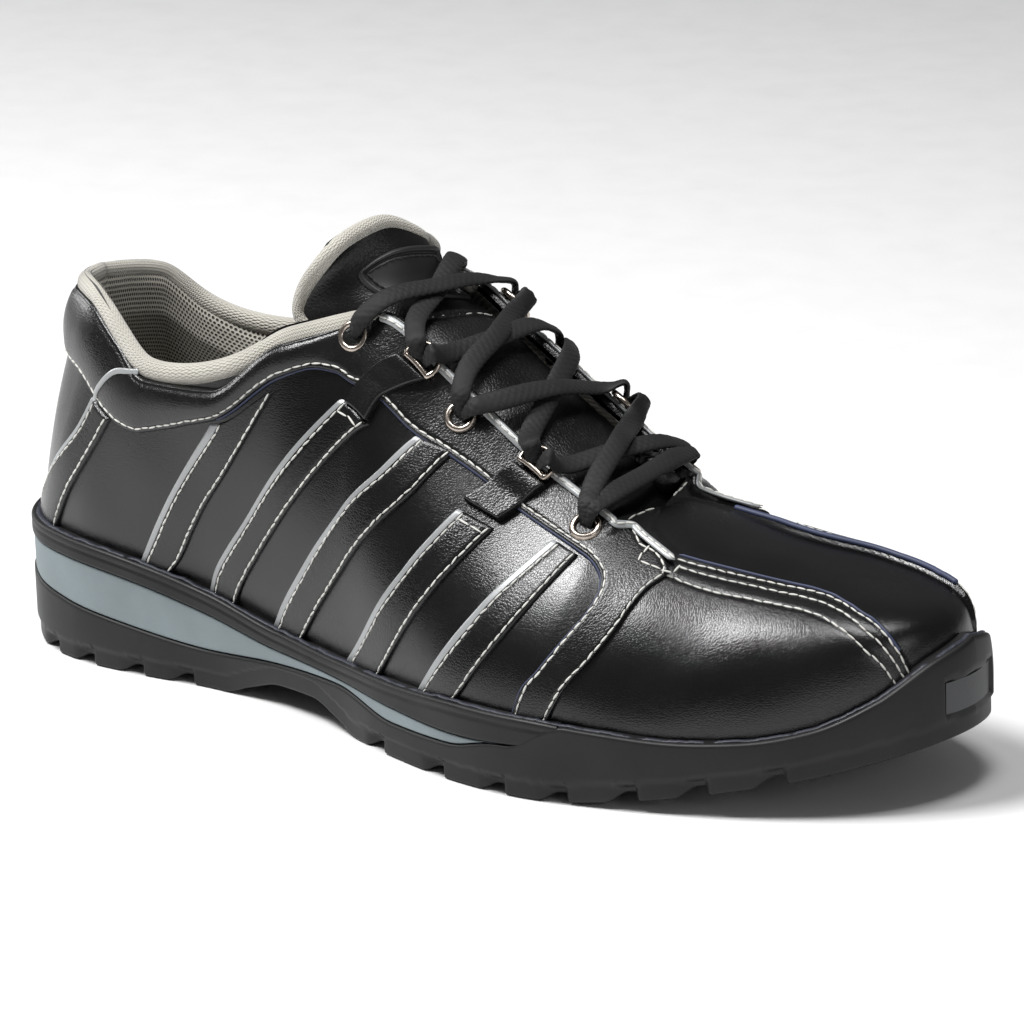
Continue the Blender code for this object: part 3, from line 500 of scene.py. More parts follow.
class SoleForm:
    """The sole's edge in plan and its heights, read at any place between two rows."""

    def __init__(self) -> None:
        """Reads the tables into metres."""
        self.last = len(SOLE_ROWS) - 1
        self.rows = np.arange(self.last + 1.0)
        self.table = np.array(SOLE_ROWS, float)
        self.heights = self.table[:, 3:] * INSTEP
        along = self.table[:, 0] * LENGTH
        sides = [np.stack([along, self.table[:, c] * BALL_WIDTH], -1) for c in (1, 2)]
        loop = np.concatenate([sides[0], sides[1][-2::-1]])
        self.run = run_of(loop)
        self.wrapped = np.concatenate([loop[-3:-1], loop, loop[1:3]])
        self.places = np.concatenate(
            [self.run[-3:-1] - self.run[-1], self.run, self.run[1:3] + self.run[-1]]
        )
        self.slopes = chord_slopes(self.places, self.wrapped)
        self.calm = calm_slopes(self.rows, self.heights)
        self.tread = np.array(TREAD_ROWS, float) * [LENGTH, INSTEP]
        self.tread_slopes = calm_slopes(self.tread[:, 0], self.tread[:, 1:])

    def edge(self, side: Side, row: np.ndarray, inset: Amount = 0.0) -> Seam:
        """Points on the edge in plan, moved inwards, with the outward normal."""
        half = self.run[: self.last + 1] if side is Side.LATERAL else self.run[::-1][: self.last + 1]
        place = np.interp(np.atleast_1d(row), self.rows, half)
        point = hermite(self.places, self.wrapped, self.slopes, place)
        ahead = hermite(self.places, self.wrapped, self.slopes, place + 0.0002)
        behind = hermite(self.places, self.wrapped, self.slopes, place - 0.0002)
        run = ahead - behind
        out = unit(np.stack([run[:, 1], -run[:, 0]], -1))
        return point - out * np.broadcast_to(np.asarray(inset, float), place.shape)[:, None], out

    def height(self, name: str, row: np.ndarray) -> np.ndarray:
        """A height of the sole table at these rows."""
        column = SoleRow._fields.index(name) - 3
        return hermite(self.rows, self.heights, self.calm, np.atleast_1d(row))[:, column]

    def tread_height(self, x: np.ndarray) -> np.ndarray:
        """The tread over the floor at these places along the shoe."""
        x = np.clip(x, 0.0, self.tread[-1, 0])
        return hermite(self.tread[:, 0], self.tread[:, 1:], self.tread_slopes, x)[:, 0]

    def row_at(self, share: float) -> float:
        """The row whose outer edge is this share along the shoe."""
        rows = np.linspace(0, self.last, 1701)
        return float(np.interp(share * LENGTH, self.edge(Side.LATERAL, rows)[0][:, 0], rows))

    def middle(self) -> np.ndarray:
        """The middle of the sole's box, on the floor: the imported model's origin."""
        rows = np.linspace(0, self.last, 400)
        both = np.concatenate([self.edge(side, rows)[0] for side in Side])
        centre = (both.min(0) + both.max(0)) / 2
        return np.array([centre[0], centre[1], 0.0])


SOLE = SoleForm()
MIDDLE = SOLE.middle()


class UpperForm:
    """The upper's outer surface: each section is a curve from the rim to the top line."""

    def __init__(self) -> None:
        """Reads the tables of both sides into metres."""
        self.tables = {}
        for side, rows in ((Side.LATERAL, LATERAL_ROWS), (Side.MEDIAL, MEDIAL_ROWS)):
            table = np.array(rows, float)
            table[:, :3] *= [LENGTH, BALL_WIDTH, INSTEP]
            table[:, 4:6] *= INSTEP
            opened, ridge = calm_slopes(SOLE.rows, table), calm_slopes(SOLE.rows, table)
            start = int(RIDGE)
            opened[: start + 1, :3] = calm_slopes(SOLE.rows[: start + 1], table[: start + 1, :3])
            ridge[start:, :3] = calm_slopes(SOLE.rows[start:], table[start:, :3])
            opened[int(THROAT_END), :3] = opened[start, :3] = ridge[start, :3] = 0.0
            self.tables[side] = (table, opened, ridge)

    def section(self, side: Side, row: np.ndarray, rise: np.ndarray) -> np.ndarray:
        """Points at pairs of row and rise, evened out under the throat's corner."""
        points = self.raw_section(side, row, rise)
        spread = 0.32 * smooth_step(1.5, 0.6, np.abs(row - 10.35)) * smooth_step(0.99, 0.84, rise)
        near = spread > 0.002
        if near.any():
            total = 0.40 * points[near]
            for share, weight in ((-2.0, 0.06), (-1.0, 0.24), (1.0, 0.24), (2.0, 0.06)):
                moved = np.clip(row[near] + share * spread[near], 0, SOLE.last)
                total = total + weight * self.raw_section(side, moved, rise[near])
            points[near] = total
        return points

    def raw_section(self, side: Side, row: np.ndarray, rise: np.ndarray) -> np.ndarray:
        """Points of the tables' own surface."""
        table, opened, ridge = self.tables[side]
        values = np.where(
            row[:, None] < RIDGE, hermite(SOLE.rows, table, opened, row),
            hermite(SOLE.rows, table, ridge, row),
        )
        top, flare, low = values[:, :3], values[:, 3:4], values[:, 4:5]
        high, lean = values[:, 5:6], values[:, 6]
        plan, out = SOLE.edge(side, row, RIM_WALL + GAP)
        foot = np.concatenate([plan, SOLE.height("floor", row)[:, None] + GAP], 1)
        leave = np.concatenate([out * flare, np.ones_like(flare)], 1)
        level, up = np.cos(np.radians(lean)), np.sin(np.radians(lean))
        arrive = np.stack([-out[:, 0] * level, -out[:, 1] * level, -out[:, 0] * level * TOE_SLOPE + up], 1)
        first, second = foot + leave * low, top - arrive * high
        t = rise[:, None]
        return (
            foot * (1 - t) ** 3 + 3 * first * t * (1 - t) ** 2
            + 3 * second * t * t * (1 - t) + top * t ** 3
        )

    def frame(self, side: Side, row: np.ndarray, rise: np.ndarray) -> Seam:
        """Points and outward normals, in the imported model's frame."""
        row, rise = (np.array(a, float) for a in np.broadcast_arrays(np.atleast_1d(row), rise))
        row = np.clip(row, 0, SOLE.last)
        step = 0.006
        near = np.minimum(row, SOLE.last - 0.1)
        low = np.minimum(rise, np.interp(row, [SOLE.last - 1.9, SOLE.last - 1.0], [1.0, 0.965]))
        ahead = self.section(side, near + step, low)
        behind = self.section(side, np.clip(near - step, 0, SOLE.last), low)
        over = self.section(side, near, np.clip(low + step, -0.1, 1))
        under = self.section(side, near, np.clip(low - step, -0.1, 1))
        normal = unit(np.cross(ahead - behind, over - under) * (-side.value))
        return self.section(side, row, rise) - MIDDLE, normal

    def points(self, side: Side, row: np.ndarray, rise: np.ndarray, lift: Amount = 0.0) -> np.ndarray:
        """Points at pairs of row and rise, moved outwards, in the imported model's frame."""
        found, normal = self.frame(side, row, rise)
        return found + normal * np.broadcast_to(np.asarray(lift, float), found.shape[:1])[:, None]


UPPER = UpperForm()


def vamp_drop(side: Side, row: np.ndarray, rise: np.ndarray) -> np.ndarray:
    """How far the vamp's middle piece lies under the pieces sewn over it."""
    edge = np.array(VAMP_EDGE[side], float)
    limit = np.interp(row, edge[:, 0], edge[:, 1], left=2.0)
    soft = 0.016 if side is Side.LATERAL else 0.030
    return VAMP_STEP * smooth_step(0.0, soft, rise - limit)


def skin_lift(side: Side, row: np.ndarray, rise: np.ndarray) -> np.ndarray:
    """The main leather's own relief over the CAD skin: seams, soft waves and pulled edges."""
    lift = -SKIN_SINK - vamp_drop(side, row, rise)
    wave = (
        np.sin(1.9 * row + 5.0 * rise) * np.sin(7.5 * rise + 0.7 * row + side.value)
        + 0.6 * np.sin(3.7 * row - 8.0 * rise + 1.3)
    )
    calm = smooth_step(0.0, 0.2, rise) * smooth_step(1.0, 0.85, rise) * smooth_step(15.0, 12.5, row)
    lift += WAVE_HEIGHT * wave * calm
    if side is Side.MEDIAL:
        on_band = 1 - vamp_drop(side, row, rise) / VAMP_STEP
        reach = smooth_step(0.1, 0.5, rise) * smooth_step(11.3, 12.2, row) * (row < 16.4)
        lift += BAND_RISE * on_band * reach
    for line in VAMP_SEAMS[side]:
        seam = np.array(line, float)
        away = np.abs(rise - np.interp(row, seam[:, 0], seam[:, 1])) * VAMP_HEIGHT
        inside = (row > seam[0, 0]) & (row < seam[-1, 0])
        lift -= np.where(inside, SEAM_PRESS * np.exp(-(away / SEAM_SPREAD) ** 2), 0.0)
    return lift


def leather_points(side: Side, row: np.ndarray, rise: np.ndarray, lift: Amount = 0.0) -> np.ndarray:
    """Points over the main leather."""
    return UPPER.points(side, row, rise, skin_lift(side, np.atleast_1d(row), np.asarray(rise)) + lift)


def in_scene(name: str, data: bpy.types.ID) -> bpy.types.Object:
    """A new object, linked to the scene."""
    made = bpy.data.objects.new(name, data)
    bpy.context.scene.collection.objects.link(made)
    return made


def mesh_of(name: str, work: bmesh.types.BMesh) -> bpy.types.Mesh:
    """The worked mesh as data; the work is freed."""
    mesh = bpy.data.meshes.new(name)
    work.to_mesh(mesh)
    work.free()
    return mesh


def laid_grid(name: str, columns: int, rows: int, mapping: Mapping, size: tuple[float, float] = (1.0, 1.0),
              flip: bool = False) -> bpy.types.Object:
    """A grid laid on a surface.

    Args:
        name: the piece's name.
        columns: faces along u.
        rows: faces along v.
        mapping: gives points for u and v, each from 0 to 1.
        size: what u and v measure, for the UV map.
        flip: turn the faces round.

    Returns:
        The new object.
    """
    work = bmesh.new()
    bmesh.ops.create_grid(work, x_segments=columns, y_segments=rows, size=0.5)
    if flip:
        bmesh.ops.reverse_faces(work, faces=work.faces)
    mesh = mesh_of(name, work)
    flat = np.empty(len(mesh.vertices) * 3)
    mesh.vertices.foreach_get("co", flat)
    uv = np.clip(flat.reshape(-1, 3)[:, :2] + 0.5, 0.0, 1.0)
    mesh.vertices.foreach_set("co", np.ascontiguousarray(mapping(uv[:, 0], uv[:, 1])).ravel())
    corner = np.empty(len(mesh.loops), np.int32)
    mesh.loops.foreach_get("vertex_index", corner)
    layer = mesh.uv_layers.new(name="UVMap")
    layer.data.foreach_set("uv", (uv * size)[corner].ravel())
    mesh.shade_smooth()
    return in_scene(name, mesh)


def joined(name: str, pieces: Sequence[bpy.types.Object], merge: float = 0.0) -> bpy.types.Object:
    """Pieces made one, with their doubles merged where a distance is given."""
    work = bmesh.new()
    for piece in pieces:
        work.from_mesh(piece.data)
    if merge:
        bmesh.ops.remove_doubles(work, verts=work.verts, dist=merge)
        bmesh.ops.dissolve_degenerate(work, edges=work.edges, dist=1e-7)
    mesh = mesh_of(name, work)
    for piece in pieces:
        bpy.data.objects.remove(piece, do_unlink=True)
    mesh.shade_smooth()
    return in_scene(name, mesh)


def tube(name: str, path: np.ndarray, ups: np.ndarray, width: float, thick: float, around: int = 14,
         bumps: Mapping | None = None, closed: bool = False) -> bpy.types.Object:
    """A flattened tube along a path, its ends drawn in.

    Args:
        name: the piece's name.
        path: its middle line.
        ups: the thin direction at each point.
        width: across the thin direction.
        thick: along it.
        around: faces round the tube.
        bumps: extra radius for length along and turn round the tube.
        closed: whether the path is a loop.

    Returns:
        The new object.
    """
    count = len(path)
    run = run_of(path)
    ahead = np.gradient(path, axis=0)
    if closed:
        ahead[0] = ahead[-1] = path[1] - path[-2]
    across = unit(np.cross(ups, ahead))
    up = unit(np.cross(ahead, across))

    def mapping(u: np.ndarray, v: np.ndarray) -> np.ndarray:
        """Points round the tube."""
        at = u * (count - 1)
        centre, side, over = (read(at, np.arange(count), values) for values in (path, across, up))
        turn = v * 2 * math.pi
        length = np.interp(at, np.arange(count), run)
        grow = bumps(length, turn) if bumps else np.zeros_like(u)
        end = np.ones_like(u)
        if not closed:
            near = np.minimum(length, run[-1] - length) / (0.5 * thick)
            end = np.sqrt(np.clip(1 - (1 - np.clip(near, 0, 1)) ** 2, 0.0004, 1))
        wide = (width / 2 + grow) * end
        high = (thick / 2 + grow) * end
        return centre + side * (wide * np.cos(turn))[:, None] + over * (high * np.sin(turn))[:, None]

    piece = laid_grid(name, max(2, count - 1), around, mapping, (float(run[-1]), width * 2 + thick * 2))
    return joined(name, [piece], 1e-6)


@dataclass(frozen=True)
class Thread:
    """A line of stitches."""

    pitch: float = 0.0027
    thick: float = 0.00058
    share: float = 0.93

    def sew(self, work: bmesh.types.BMesh, path: np.ndarray, normals: np.ndarray, seed: int) -> None:
        """Adds one rounded stitch per pitch along a path.

        Args:
            work: the mesh that takes them.
            path: points along the seam.
            normals: the leather's normal at each.
            seed: start of the small unevenness.
        """
        random = np.random.default_rng(seed)
        run = run_of(path)
        count = max(1, int(run[-1] / self.pitch))
        at = (np.arange(count) + 0.5) * run[-1] / count
        step = run[-1] / count * self.share / 2
        centre, up = read(at, run, path), read(at, run, normals)
        before, after = read(at - step, run, path), read(at + step, run, path)
        for i in range(count):
            along = Vector(after[i] - before[i]).normalized()
            over = Vector(up[i]).normalized()
            across = over.cross(along).normalized()
            along = (along + across * float(random.normal(0, 0.07))).normalized()
            across = over.cross(along).normalized()
            place = Matrix((
                (*(along * step * 1.06),), (*(across * self.thick / 2 * float(random.uniform(0.9, 1.1))),),
                (*(over * self.thick / 2),),
            )).transposed().to_4x4()
            place.translation = Vector(centre[i]) + across * float(random.normal(0, 0.00005))
            bmesh.ops.create_uvsphere(work, u_segments=7, v_segments=5, radius=1.0, matrix=place @ TURN_UP)


TURN_UP = Matrix.Rotation(math.pi / 2, 4, "Y")


def sewn(name: str, lines: Sequence[Seam], thread: Thread) -> bpy.types.Object:
    """Seams of stitches as one piece."""
    whole = bmesh.new()
    for number, (path, normals) in enumerate(lines):
        work = bmesh.new()
        thread.sew(work, path, normals, number)
        mesh = mesh_of("seam", work)
        whole.from_mesh(mesh)
        bpy.data.meshes.remove(mesh)
    mesh = mesh_of(name, whole)
    mesh.shade_smooth()
    return in_scene(name, mesh)


def skin_path(side: Side, places: Sequence[Place], count: int, lift: float = 0.0) -> Seam:
    """A smooth line over the main leather, with its normals."""
    table = np.array(places, float)
    index = np.arange(float(len(table)))
    at = np.linspace(0, len(table) - 1, 40 * len(table))
    fine = hermite(index, table, chord_slopes(index, table), at)
    row, rise = fine[:, 0], np.minimum(fine[:, 1], 1.0)
    points = leather_points(side, row, rise, lift)
    both = resample(np.concatenate([points, UPPER.frame(side, row, rise)[1]], 1), count)
    return both[:, :3], unit(both[:, 3:])


@dataclass
class Overlay:
    """A piece of leather sewn over the upper, between two matched edges."""

    name: str
    side: Side
    pairs: Sequence[Pair]
    lift: float
    columns: int = 90
    rows: int = 18
    first: float = 0.0
    last: float = 1.0
    roll: tuple[float, float] = (0.0006, 0.0006)
    end_roll: tuple[float, float] = (0.0, 0.0)
    seams: tuple[float, float] = (0.0, 0.0)
    puff: Mapping | None = None
    table: np.ndarray = field(init=False)
    run: np.ndarray = field(init=False)
    width: np.ndarray = field(init=False)

    def __post_init__(self) -> None:
        """Measures the piece."""
        pairs = np.array(self.pairs, float)
        index = np.arange(float(len(pairs)))
        at = np.linspace(0, len(pairs) - 1, 20 * len(pairs))
        fine = hermite(index, pairs, calm_slopes(index, pairs), at)
        middle_row, middle_rise = (fine[:, 0] + fine[:, 2]) / 2, (fine[:, 1] + fine[:, 3]) / 2
        line = UPPER.points(self.side, middle_row, middle_rise)
        self.run = run_of(line)
        self.table = fine
        ends = [UPPER.points(self.side, fine[:, c], fine[:, c + 1]) for c in (0, 2)]
        self.width = np.linalg.norm(ends[1] - ends[0], axis=1) * (self.last - self.first)

    def place(self, u: np.ndarray, t: np.ndarray) -> tuple[np.ndarray, np.ndarray, np.ndarray]:
        """Row, rise and width at a share of the length and of the width."""
        at = u * self.run[-1]
        values = [np.interp(at, self.run, self.table[:, c]) for c in range(4)]
        t = self.first + t * (self.last - self.first)
        row = values[0] * (1 - t) + values[2] * t
        rise = values[1] * (1 - t) + values[3] * t
        return row, np.minimum(rise, 1.0), np.interp(at, self.run, self.width)

    def height(self, u: np.ndarray, t: np.ndarray, width: np.ndarray) -> np.ndarray:
        """How high the piece stands over the main leather."""
        lift = np.full_like(u, self.lift)
        if self.puff:
            lift = lift + self.puff(u, t)
        for away, inset in ((t * width, self.seams[0]), ((1 - t) * width, self.seams[1])):
            if inset:
                lift = lift - STITCH_DENT * np.exp(-((away - inset) / STITCH_SPREAD) ** 2)
        length = self.run[-1]
        edges = (
            (t * width, self.roll[0]), ((1 - t) * width, self.roll[1]),
            (u * length, self.end_roll[0]), ((1 - u) * length, self.end_roll[1]),
        )
        for away, radius in edges:
            if radius:
                part = np.clip(away / radius, 0, 1)
                lift = (lift + EDGE_TUCK) * np.sqrt(np.clip(1 - (1 - part) ** 2, 0, 1)) - EDGE_TUCK
        return lift

    def build(self) -> bpy.types.Object:
        """The piece as a mesh, its UV map in metres from its first edge."""
        def mapping(u: np.ndarray, v: np.ndarray) -> np.ndarray:
            """Cells close up towards the rolled edges."""
            t = 0.5 - 0.5 * np.cos(math.pi * v)
            t = 0.75 * t + 0.25 * v
            row, rise, width = self.place(u, t)
            return leather_points(self.side, row, rise, self.height(u, t, width))

        size = (float(self.run[-1]), float(np.mean(self.width)))
        return laid_grid(self.name, self.columns, self.rows, mapping, size, self.side is Side.MEDIAL)

    def line(self, distance: float, far: bool = False, start: float = 0.0, end: float = 1.0,
             count: int = 160) -> Seam:
        """A line along the piece at a distance from one edge, with its normals."""
        u = np.linspace(start, end, count)
        width = self.place(u, np.zeros_like(u))[2]
        t = np.clip(distance / np.maximum(width, 1e-4), 0, 1)
        t = 1 - t if far else t
        return self.over(u, t)

    def cross(self, share: float, near: float, far: float, count: int = 24) -> Seam:
        """A line across the piece at a share of its length."""
        t = np.linspace(near, far, count)
        return self.over(np.full_like(t, share), t)

    def over(self, u: np.ndarray, t: np.ndarray) -> Seam:
        """Points for thread on the piece, with the leather's normals."""
        row, rise, width = self.place(u, t)
        lift = self.height(u, t, width) + THREAD_LIFT
        return leather_points(self.side, row, rise, lift), UPPER.frame(self.side, row, rise)[1]


class Slot(Enum):
    """The record's material slots."""

    LEATHER = "leather"
    RUBBER = "rubber"
    CUSHION = "cushion"
    LINING = "lining"
    METAL = "metal"
    CORD = "cord"


class Surface(Enum):
    """The small relief that a finish carries."""

    GRAIN = "grain"
    KNIT = "knit"
    OPEN_MESH = "open_mesh"
    STIPPLE = "stipple"
    PLAIN = "plain"


@dataclass(frozen=True)
class Finish:
    """Colour, gloss and small relief of one material."""

    name: str
    colour: tuple[float, float, float]
    roughness: float
    surface: Surface = Surface.PLAIN
    scale: float = 1000.0
    depth: float = 0.0001
    strength: float = 0.5
    metallic: float = 0.0
    sheen: float = 0.0
    specular: float = 0.5
    scuff: float = 0.0
    scuff_colour: tuple[float, float, float] = (0.16, 0.16, 0.15)
    # Second colour blended in by a mask: for the open mesh it is painted shade in the holes
    second: tuple[float, float, float] | None = None


FINE_LEATHER = Finish("fine_leather", (0.0032, 0.0032, 0.0035), 0.25, Surface.GRAIN, 1600, 0.00008, 0.48,
                      specular=0.55, scuff=0.03)
PEBBLE_LEATHER = Finish("pebble_leather", (0.0034, 0.0034, 0.0037), 0.27, Surface.GRAIN, 1350, 0.00011, 0.58,
                        scuff=0.05, specular=0.55)
TONGUE_LEATHER = Finish("tongue_leather", (0.0042, 0.0042, 0.0045), 0.33, Surface.GRAIN, 1100, 0.00014, 0.6,
                        scuff=0.10, specular=0.45)
PATCH = Finish("patch_field", (0.016, 0.016, 0.017), 0.42, Surface.GRAIN, 2400, 0.00004, 0.3)
RAW_EDGE = Finish("raw_edge", (0.034, 0.044, 0.095), 0.55, Surface.GRAIN, 2200, 0.00005, 0.5)
THREAD = Finish("white_thread", (0.66, 0.65, 0.61), 0.62, Surface.STIPPLE, 5200, 0.00006, 0.6, sheen=0.2)
DARK_THREAD = Finish("dark_thread", (0.006, 0.006, 0.0065), 0.6, Surface.STIPPLE, 5200, 0.00006, 0.6,
                     sheen=0.2)
PIPING = Finish("silver_piping", (0.34, 0.35, 0.355), 0.36, Surface.STIPPLE, 2600, 0.00005, 0.4,
                metallic=0.25, scuff=0.12, scuff_colour=(0.12, 0.12, 0.12))
KNIT_BINDING = Finish("knit_binding", (0.46, 0.44, 0.39), 0.85, Surface.KNIT, 1.0, 0.00035, 0.9, sheen=0.35,
                      specular=0.25)
# The lining's near-black second colour is painted shade inside the mesh holes
OPEN_LINING = Finish("open_lining", (0.43, 0.41, 0.36), 0.88, Surface.OPEN_MESH, 1.05, 0.0007, 1.0,
                     sheen=0.2, specular=0.2, second=(0.030, 0.027, 0.022))
FOOTBED = Finish("footbed_cloth", (0.20, 0.19, 0.17), 0.9, Surface.STIPPLE, 1500, 0.0002, 0.8, sheen=0.2,
                 specular=0.2)
RUBBER = Finish("black_rubber", (0.0062, 0.0062, 0.0066), 0.52, Surface.STIPPLE, 1700, 0.00006, 0.45,
                scuff=0.22, specular=0.38)
TOE_FIELD = Finish("toe_field", (0.062, 0.064, 0.068), 0.60, Surface.STIPPLE, 1400, 0.0001, 0.7, scuff=0.15)
CUSHION = Finish("grey_cushion", (0.205, 0.245, 0.260), 0.66, Surface.STIPPLE, 1250, 0.00012, 0.7,
                 scuff=0.35, scuff_colour=(0.07, 0.08, 0.085))
GLUE = Finish("glue_line", (0.020, 0.022, 0.034), 0.55, Surface.STIPPLE, 900, 0.0002, 0.9, scuff=0.9,
              scuff_colour=(0.30, 0.31, 0.34))
METAL = Finish("plated_wire", (0.46, 0.40, 0.35), 0.24, Surface.STIPPLE, 1800, 0.00003, 0.3, metallic=1.0)
CORD = Finish("black_cord", (0.0048, 0.0048, 0.0050), 0.66, Surface.STIPPLE, 5200, 0.00008, 0.7, sheen=0.04,
              specular=0.35)
FLOOR = Finish("pale_floor", (0.80, 0.80, 0.80), 0.75)

# Widths of a knit stitch across and along, and of the open mesh's cells
KNIT_PITCH = (0.0011, 0.0009)
MESH_PITCH = 0.0016


class Graph:
    """Short ways to add shader nodes and join them."""

    def __init__(self, tree: bpy.types.NodeTree) -> None:
        """Keeps the tree that takes the nodes."""
        self.tree = tree

    def put(self, socket: bpy.types.NodeSocket, value: object) -> None:
        """Links a socket to another, or sets its value."""
        if isinstance(value, bpy.types.NodeSocket):
            self.tree.links.new(value, socket)
        else:
            socket.default_value = value

    def add(self, kind: str, inputs: dict[str | int, object] | None = None,
            **settings: object) -> bpy.types.Node:
        """Adds a node.

        Args:
            kind: its Blender type.
            inputs: values or sockets for its inputs.
            settings: its own choices.

        Returns:
            The node.
        """
        node = self.tree.nodes.new(kind)
        for name, value in settings.items():
            setattr(node, name, value)
        for name, value in (inputs or {}).items():
            self.put(node.inputs[name], value)
        return node

    def math(self, operation: str, first: object, second: object = 0.0,
             clamp: bool = False) -> bpy.types.NodeSocket:
        """What an operation makes of two values."""
        values = {0: first, 1: second}
        return self.add("ShaderNodeMath", values, operation=operation, use_clamp=clamp).outputs[0]

    def noise(self, vector: object, scale: float, detail: float = 3.0) -> bpy.types.NodeSocket:
        """Even noise from 0 to 1."""
        node = self.add("ShaderNodeTexNoise", {"Vector": vector, "Scale": scale, "Detail": detail})
        return node.outputs["Fac"]

    def fit(self, value: object, low: float, high: float, start: float = 0.0,
            end: float = 1.0) -> bpy.types.NodeSocket:
        """A value brought from one range to another."""
        node = self.add("ShaderNodeMapRange", {0: value, 1: low, 2: high, 3: start, 4: end})
        return node.outputs[0]

    def blend(self, factor: object, first: object, second: object) -> bpy.types.NodeSocket:
        """A colour between two."""
        node = self.add("ShaderNodeMix", {0: factor, 6: first, 7: second}, data_type="RGBA")
        return node.outputs[2]


def new_group(
    name: str, outputs: Sequence[str],
) -> tuple[Graph, bpy.types.NodeSocket, bpy.types.NodeSocket, bpy.types.Node]:
    """A shader node group that takes a vector and a scale and gives values."""
    tree = bpy.data.node_groups.new(name, "ShaderNodeTree")
    tree.interface.new_socket(name="Vector", in_out="INPUT", socket_type="NodeSocketVector")
    tree.interface.new_socket(name="Scale", in_out="INPUT", socket_type="NodeSocketFloat")
    for output in outputs:
        tree.interface.new_socket(name=output, in_out="OUTPUT", socket_type="NodeSocketFloat")
    graph = Graph(tree)
    start, end = graph.add("NodeGroupInput"), graph.add("NodeGroupOutput")
    return graph, start.outputs["Vector"], start.outputs["Scale"], end


def grain_group() -> bpy.types.NodeTree:
    """Pebbles of coated leather with fine folds between them."""
    graph, vector, scale, end = new_group("leather_grain", ["Height"])
    warp = graph.add("ShaderNodeTexNoise", {"Vector": vector, "Scale": graph.math("MULTIPLY", scale, 0.35)})
    shift = graph.add("ShaderNodeVectorMath", {0: warp.outputs["Color"], 1: (0.0009, 0.0009, 0.0009)},
                      operation="MULTIPLY")
    bent = graph.add("ShaderNodeVectorMath", {0: vector, 1: shift.outputs[0]}, operation="ADD").outputs[0]
    cells = graph.add("ShaderNodeTexVoronoi", {"Vector": bent, "Scale": scale}, feature="SMOOTH_F1")
    edges = graph.add("ShaderNodeTexVoronoi", {"Vector": bent, "Scale": scale}, feature="DISTANCE_TO_EDGE")
    dome = graph.math("SUBTRACT", 1.0, cells.outputs["Distance"])
    gap = graph.fit(edges.outputs["Distance"], 0.0, 0.16)
    fine = graph.noise(vector, 4200.0, 2.0)
    height = graph.math("ADD", graph.math("MULTIPLY", dome, 0.55), graph.math("MULTIPLY", gap, 0.35))
    graph.put(end.inputs["Height"], graph.math("ADD", height, graph.math("MULTIPLY", fine, 0.12)))
    return graph.tree


def stipple_group() -> bpy.types.NodeTree:
    """Even fine roughness of moulded rubber, foam skin or spun thread."""
    graph, vector, scale, end = new_group("stipple", ["Height"])
    inputs = {"Vector": vector, "Scale": scale, "Detail": 3.0, "Roughness": 0.6}
    graph.put(end.inputs["Height"], graph.add("ShaderNodeTexNoise", inputs).outputs["Fac"])
    return graph.tree


def wear_group() -> bpy.types.NodeTree:
    """Thin scratches and dull patches, as a mask."""
    graph, vector, scale, end = new_group("wear", ["Scratch", "Patch"])
    stretched = graph.add("ShaderNodeMapping", {"Vector": vector, "Scale": (1.0, 1.0, 6.0),
                                                "Rotation": (0.0, 0.6, 0.3)}).outputs[0]
    lines = graph.noise(stretched, 260.0, 6.0)
    broad = graph.noise(vector, graph.math("MULTIPLY", scale, 0.05), 2.0)
    scratch = graph.math("MULTIPLY", graph.fit(lines, 0.68, 0.84), graph.fit(broad, 0.54, 0.66))
    graph.put(end.inputs["Scratch"], scratch)
    graph.put(end.inputs["Patch"], graph.noise(vector, 55.0, 4.0))
    return graph.tree


def knit_group() -> bpy.types.NodeTree:
    """Rows of small V-shaped knit stitches, laid by a UV map in metres."""
    graph, vector, scale, end = new_group("knit", ["Height"])
    parts = graph.add("ShaderNodeSeparateXYZ", {0: vector})
    columns = graph.math("DIVIDE", parts.outputs[1], graph.math("MULTIPLY", scale, KNIT_PITCH[0]))
    fold = graph.math("PINGPONG", columns, 0.5)
    along = graph.math("DIVIDE", parts.outputs[0], graph.math("MULTIPLY", scale, KNIT_PITCH[1]))
    slant = graph.math("ADD", along, graph.math("MULTIPLY", fold, 1.3))
    wave = graph.math("SINE", graph.math("MULTIPLY", slant, 2 * math.pi))
    rib = graph.math("SINE", graph.math("MULTIPLY", columns, 2 * math.pi))
    height = graph.math("ADD", graph.fit(wave, -1.0, 1.0, 0.0, 0.6), graph.fit(rib, -1.0, 1.0, 0.0, 0.4))
    graph.put(end.inputs["Height"], height)
    return graph.tree


def open_mesh_group() -> bpy.types.NodeTree:
    """Holes of a spacer cloth in staggered rows, laid by a UV map in metres; the Hole mask places painted
    shade in them.
    """
    graph, vector, scale, end = new_group("open_mesh", ["Height", "Hole"])
    parts = graph.add("ShaderNodeSeparateXYZ", {0: vector})
    pitch = graph.math("MULTIPLY", scale, MESH_PITCH)
    rows = graph.math("DIVIDE", parts.outputs[1], graph.math("MULTIPLY", pitch, 0.86))
    odd = graph.math("MODULO", graph.math("FLOOR", rows), 2.0)
    cells = graph.math("DIVIDE", parts.outputs[0], pitch)
    across = graph.math("ADD", cells, graph.math("MULTIPLY", odd, 0.5))
    du = graph.math("SUBTRACT", graph.math("FRACT", across), 0.5)
    dv = graph.math("SUBTRACT", graph.math("FRACT", rows), 0.5)
    square = graph.math("ADD", graph.math("MULTIPLY", du, du), graph.math("MULTIPLY", dv, dv))
    solid = graph.fit(graph.math("SQRT", square), 0.20, 0.40)
    graph.put(end.inputs["Height"], solid)
    graph.put(end.inputs["Hole"], graph.math("SUBTRACT", 1.0, solid))
    return graph.tree


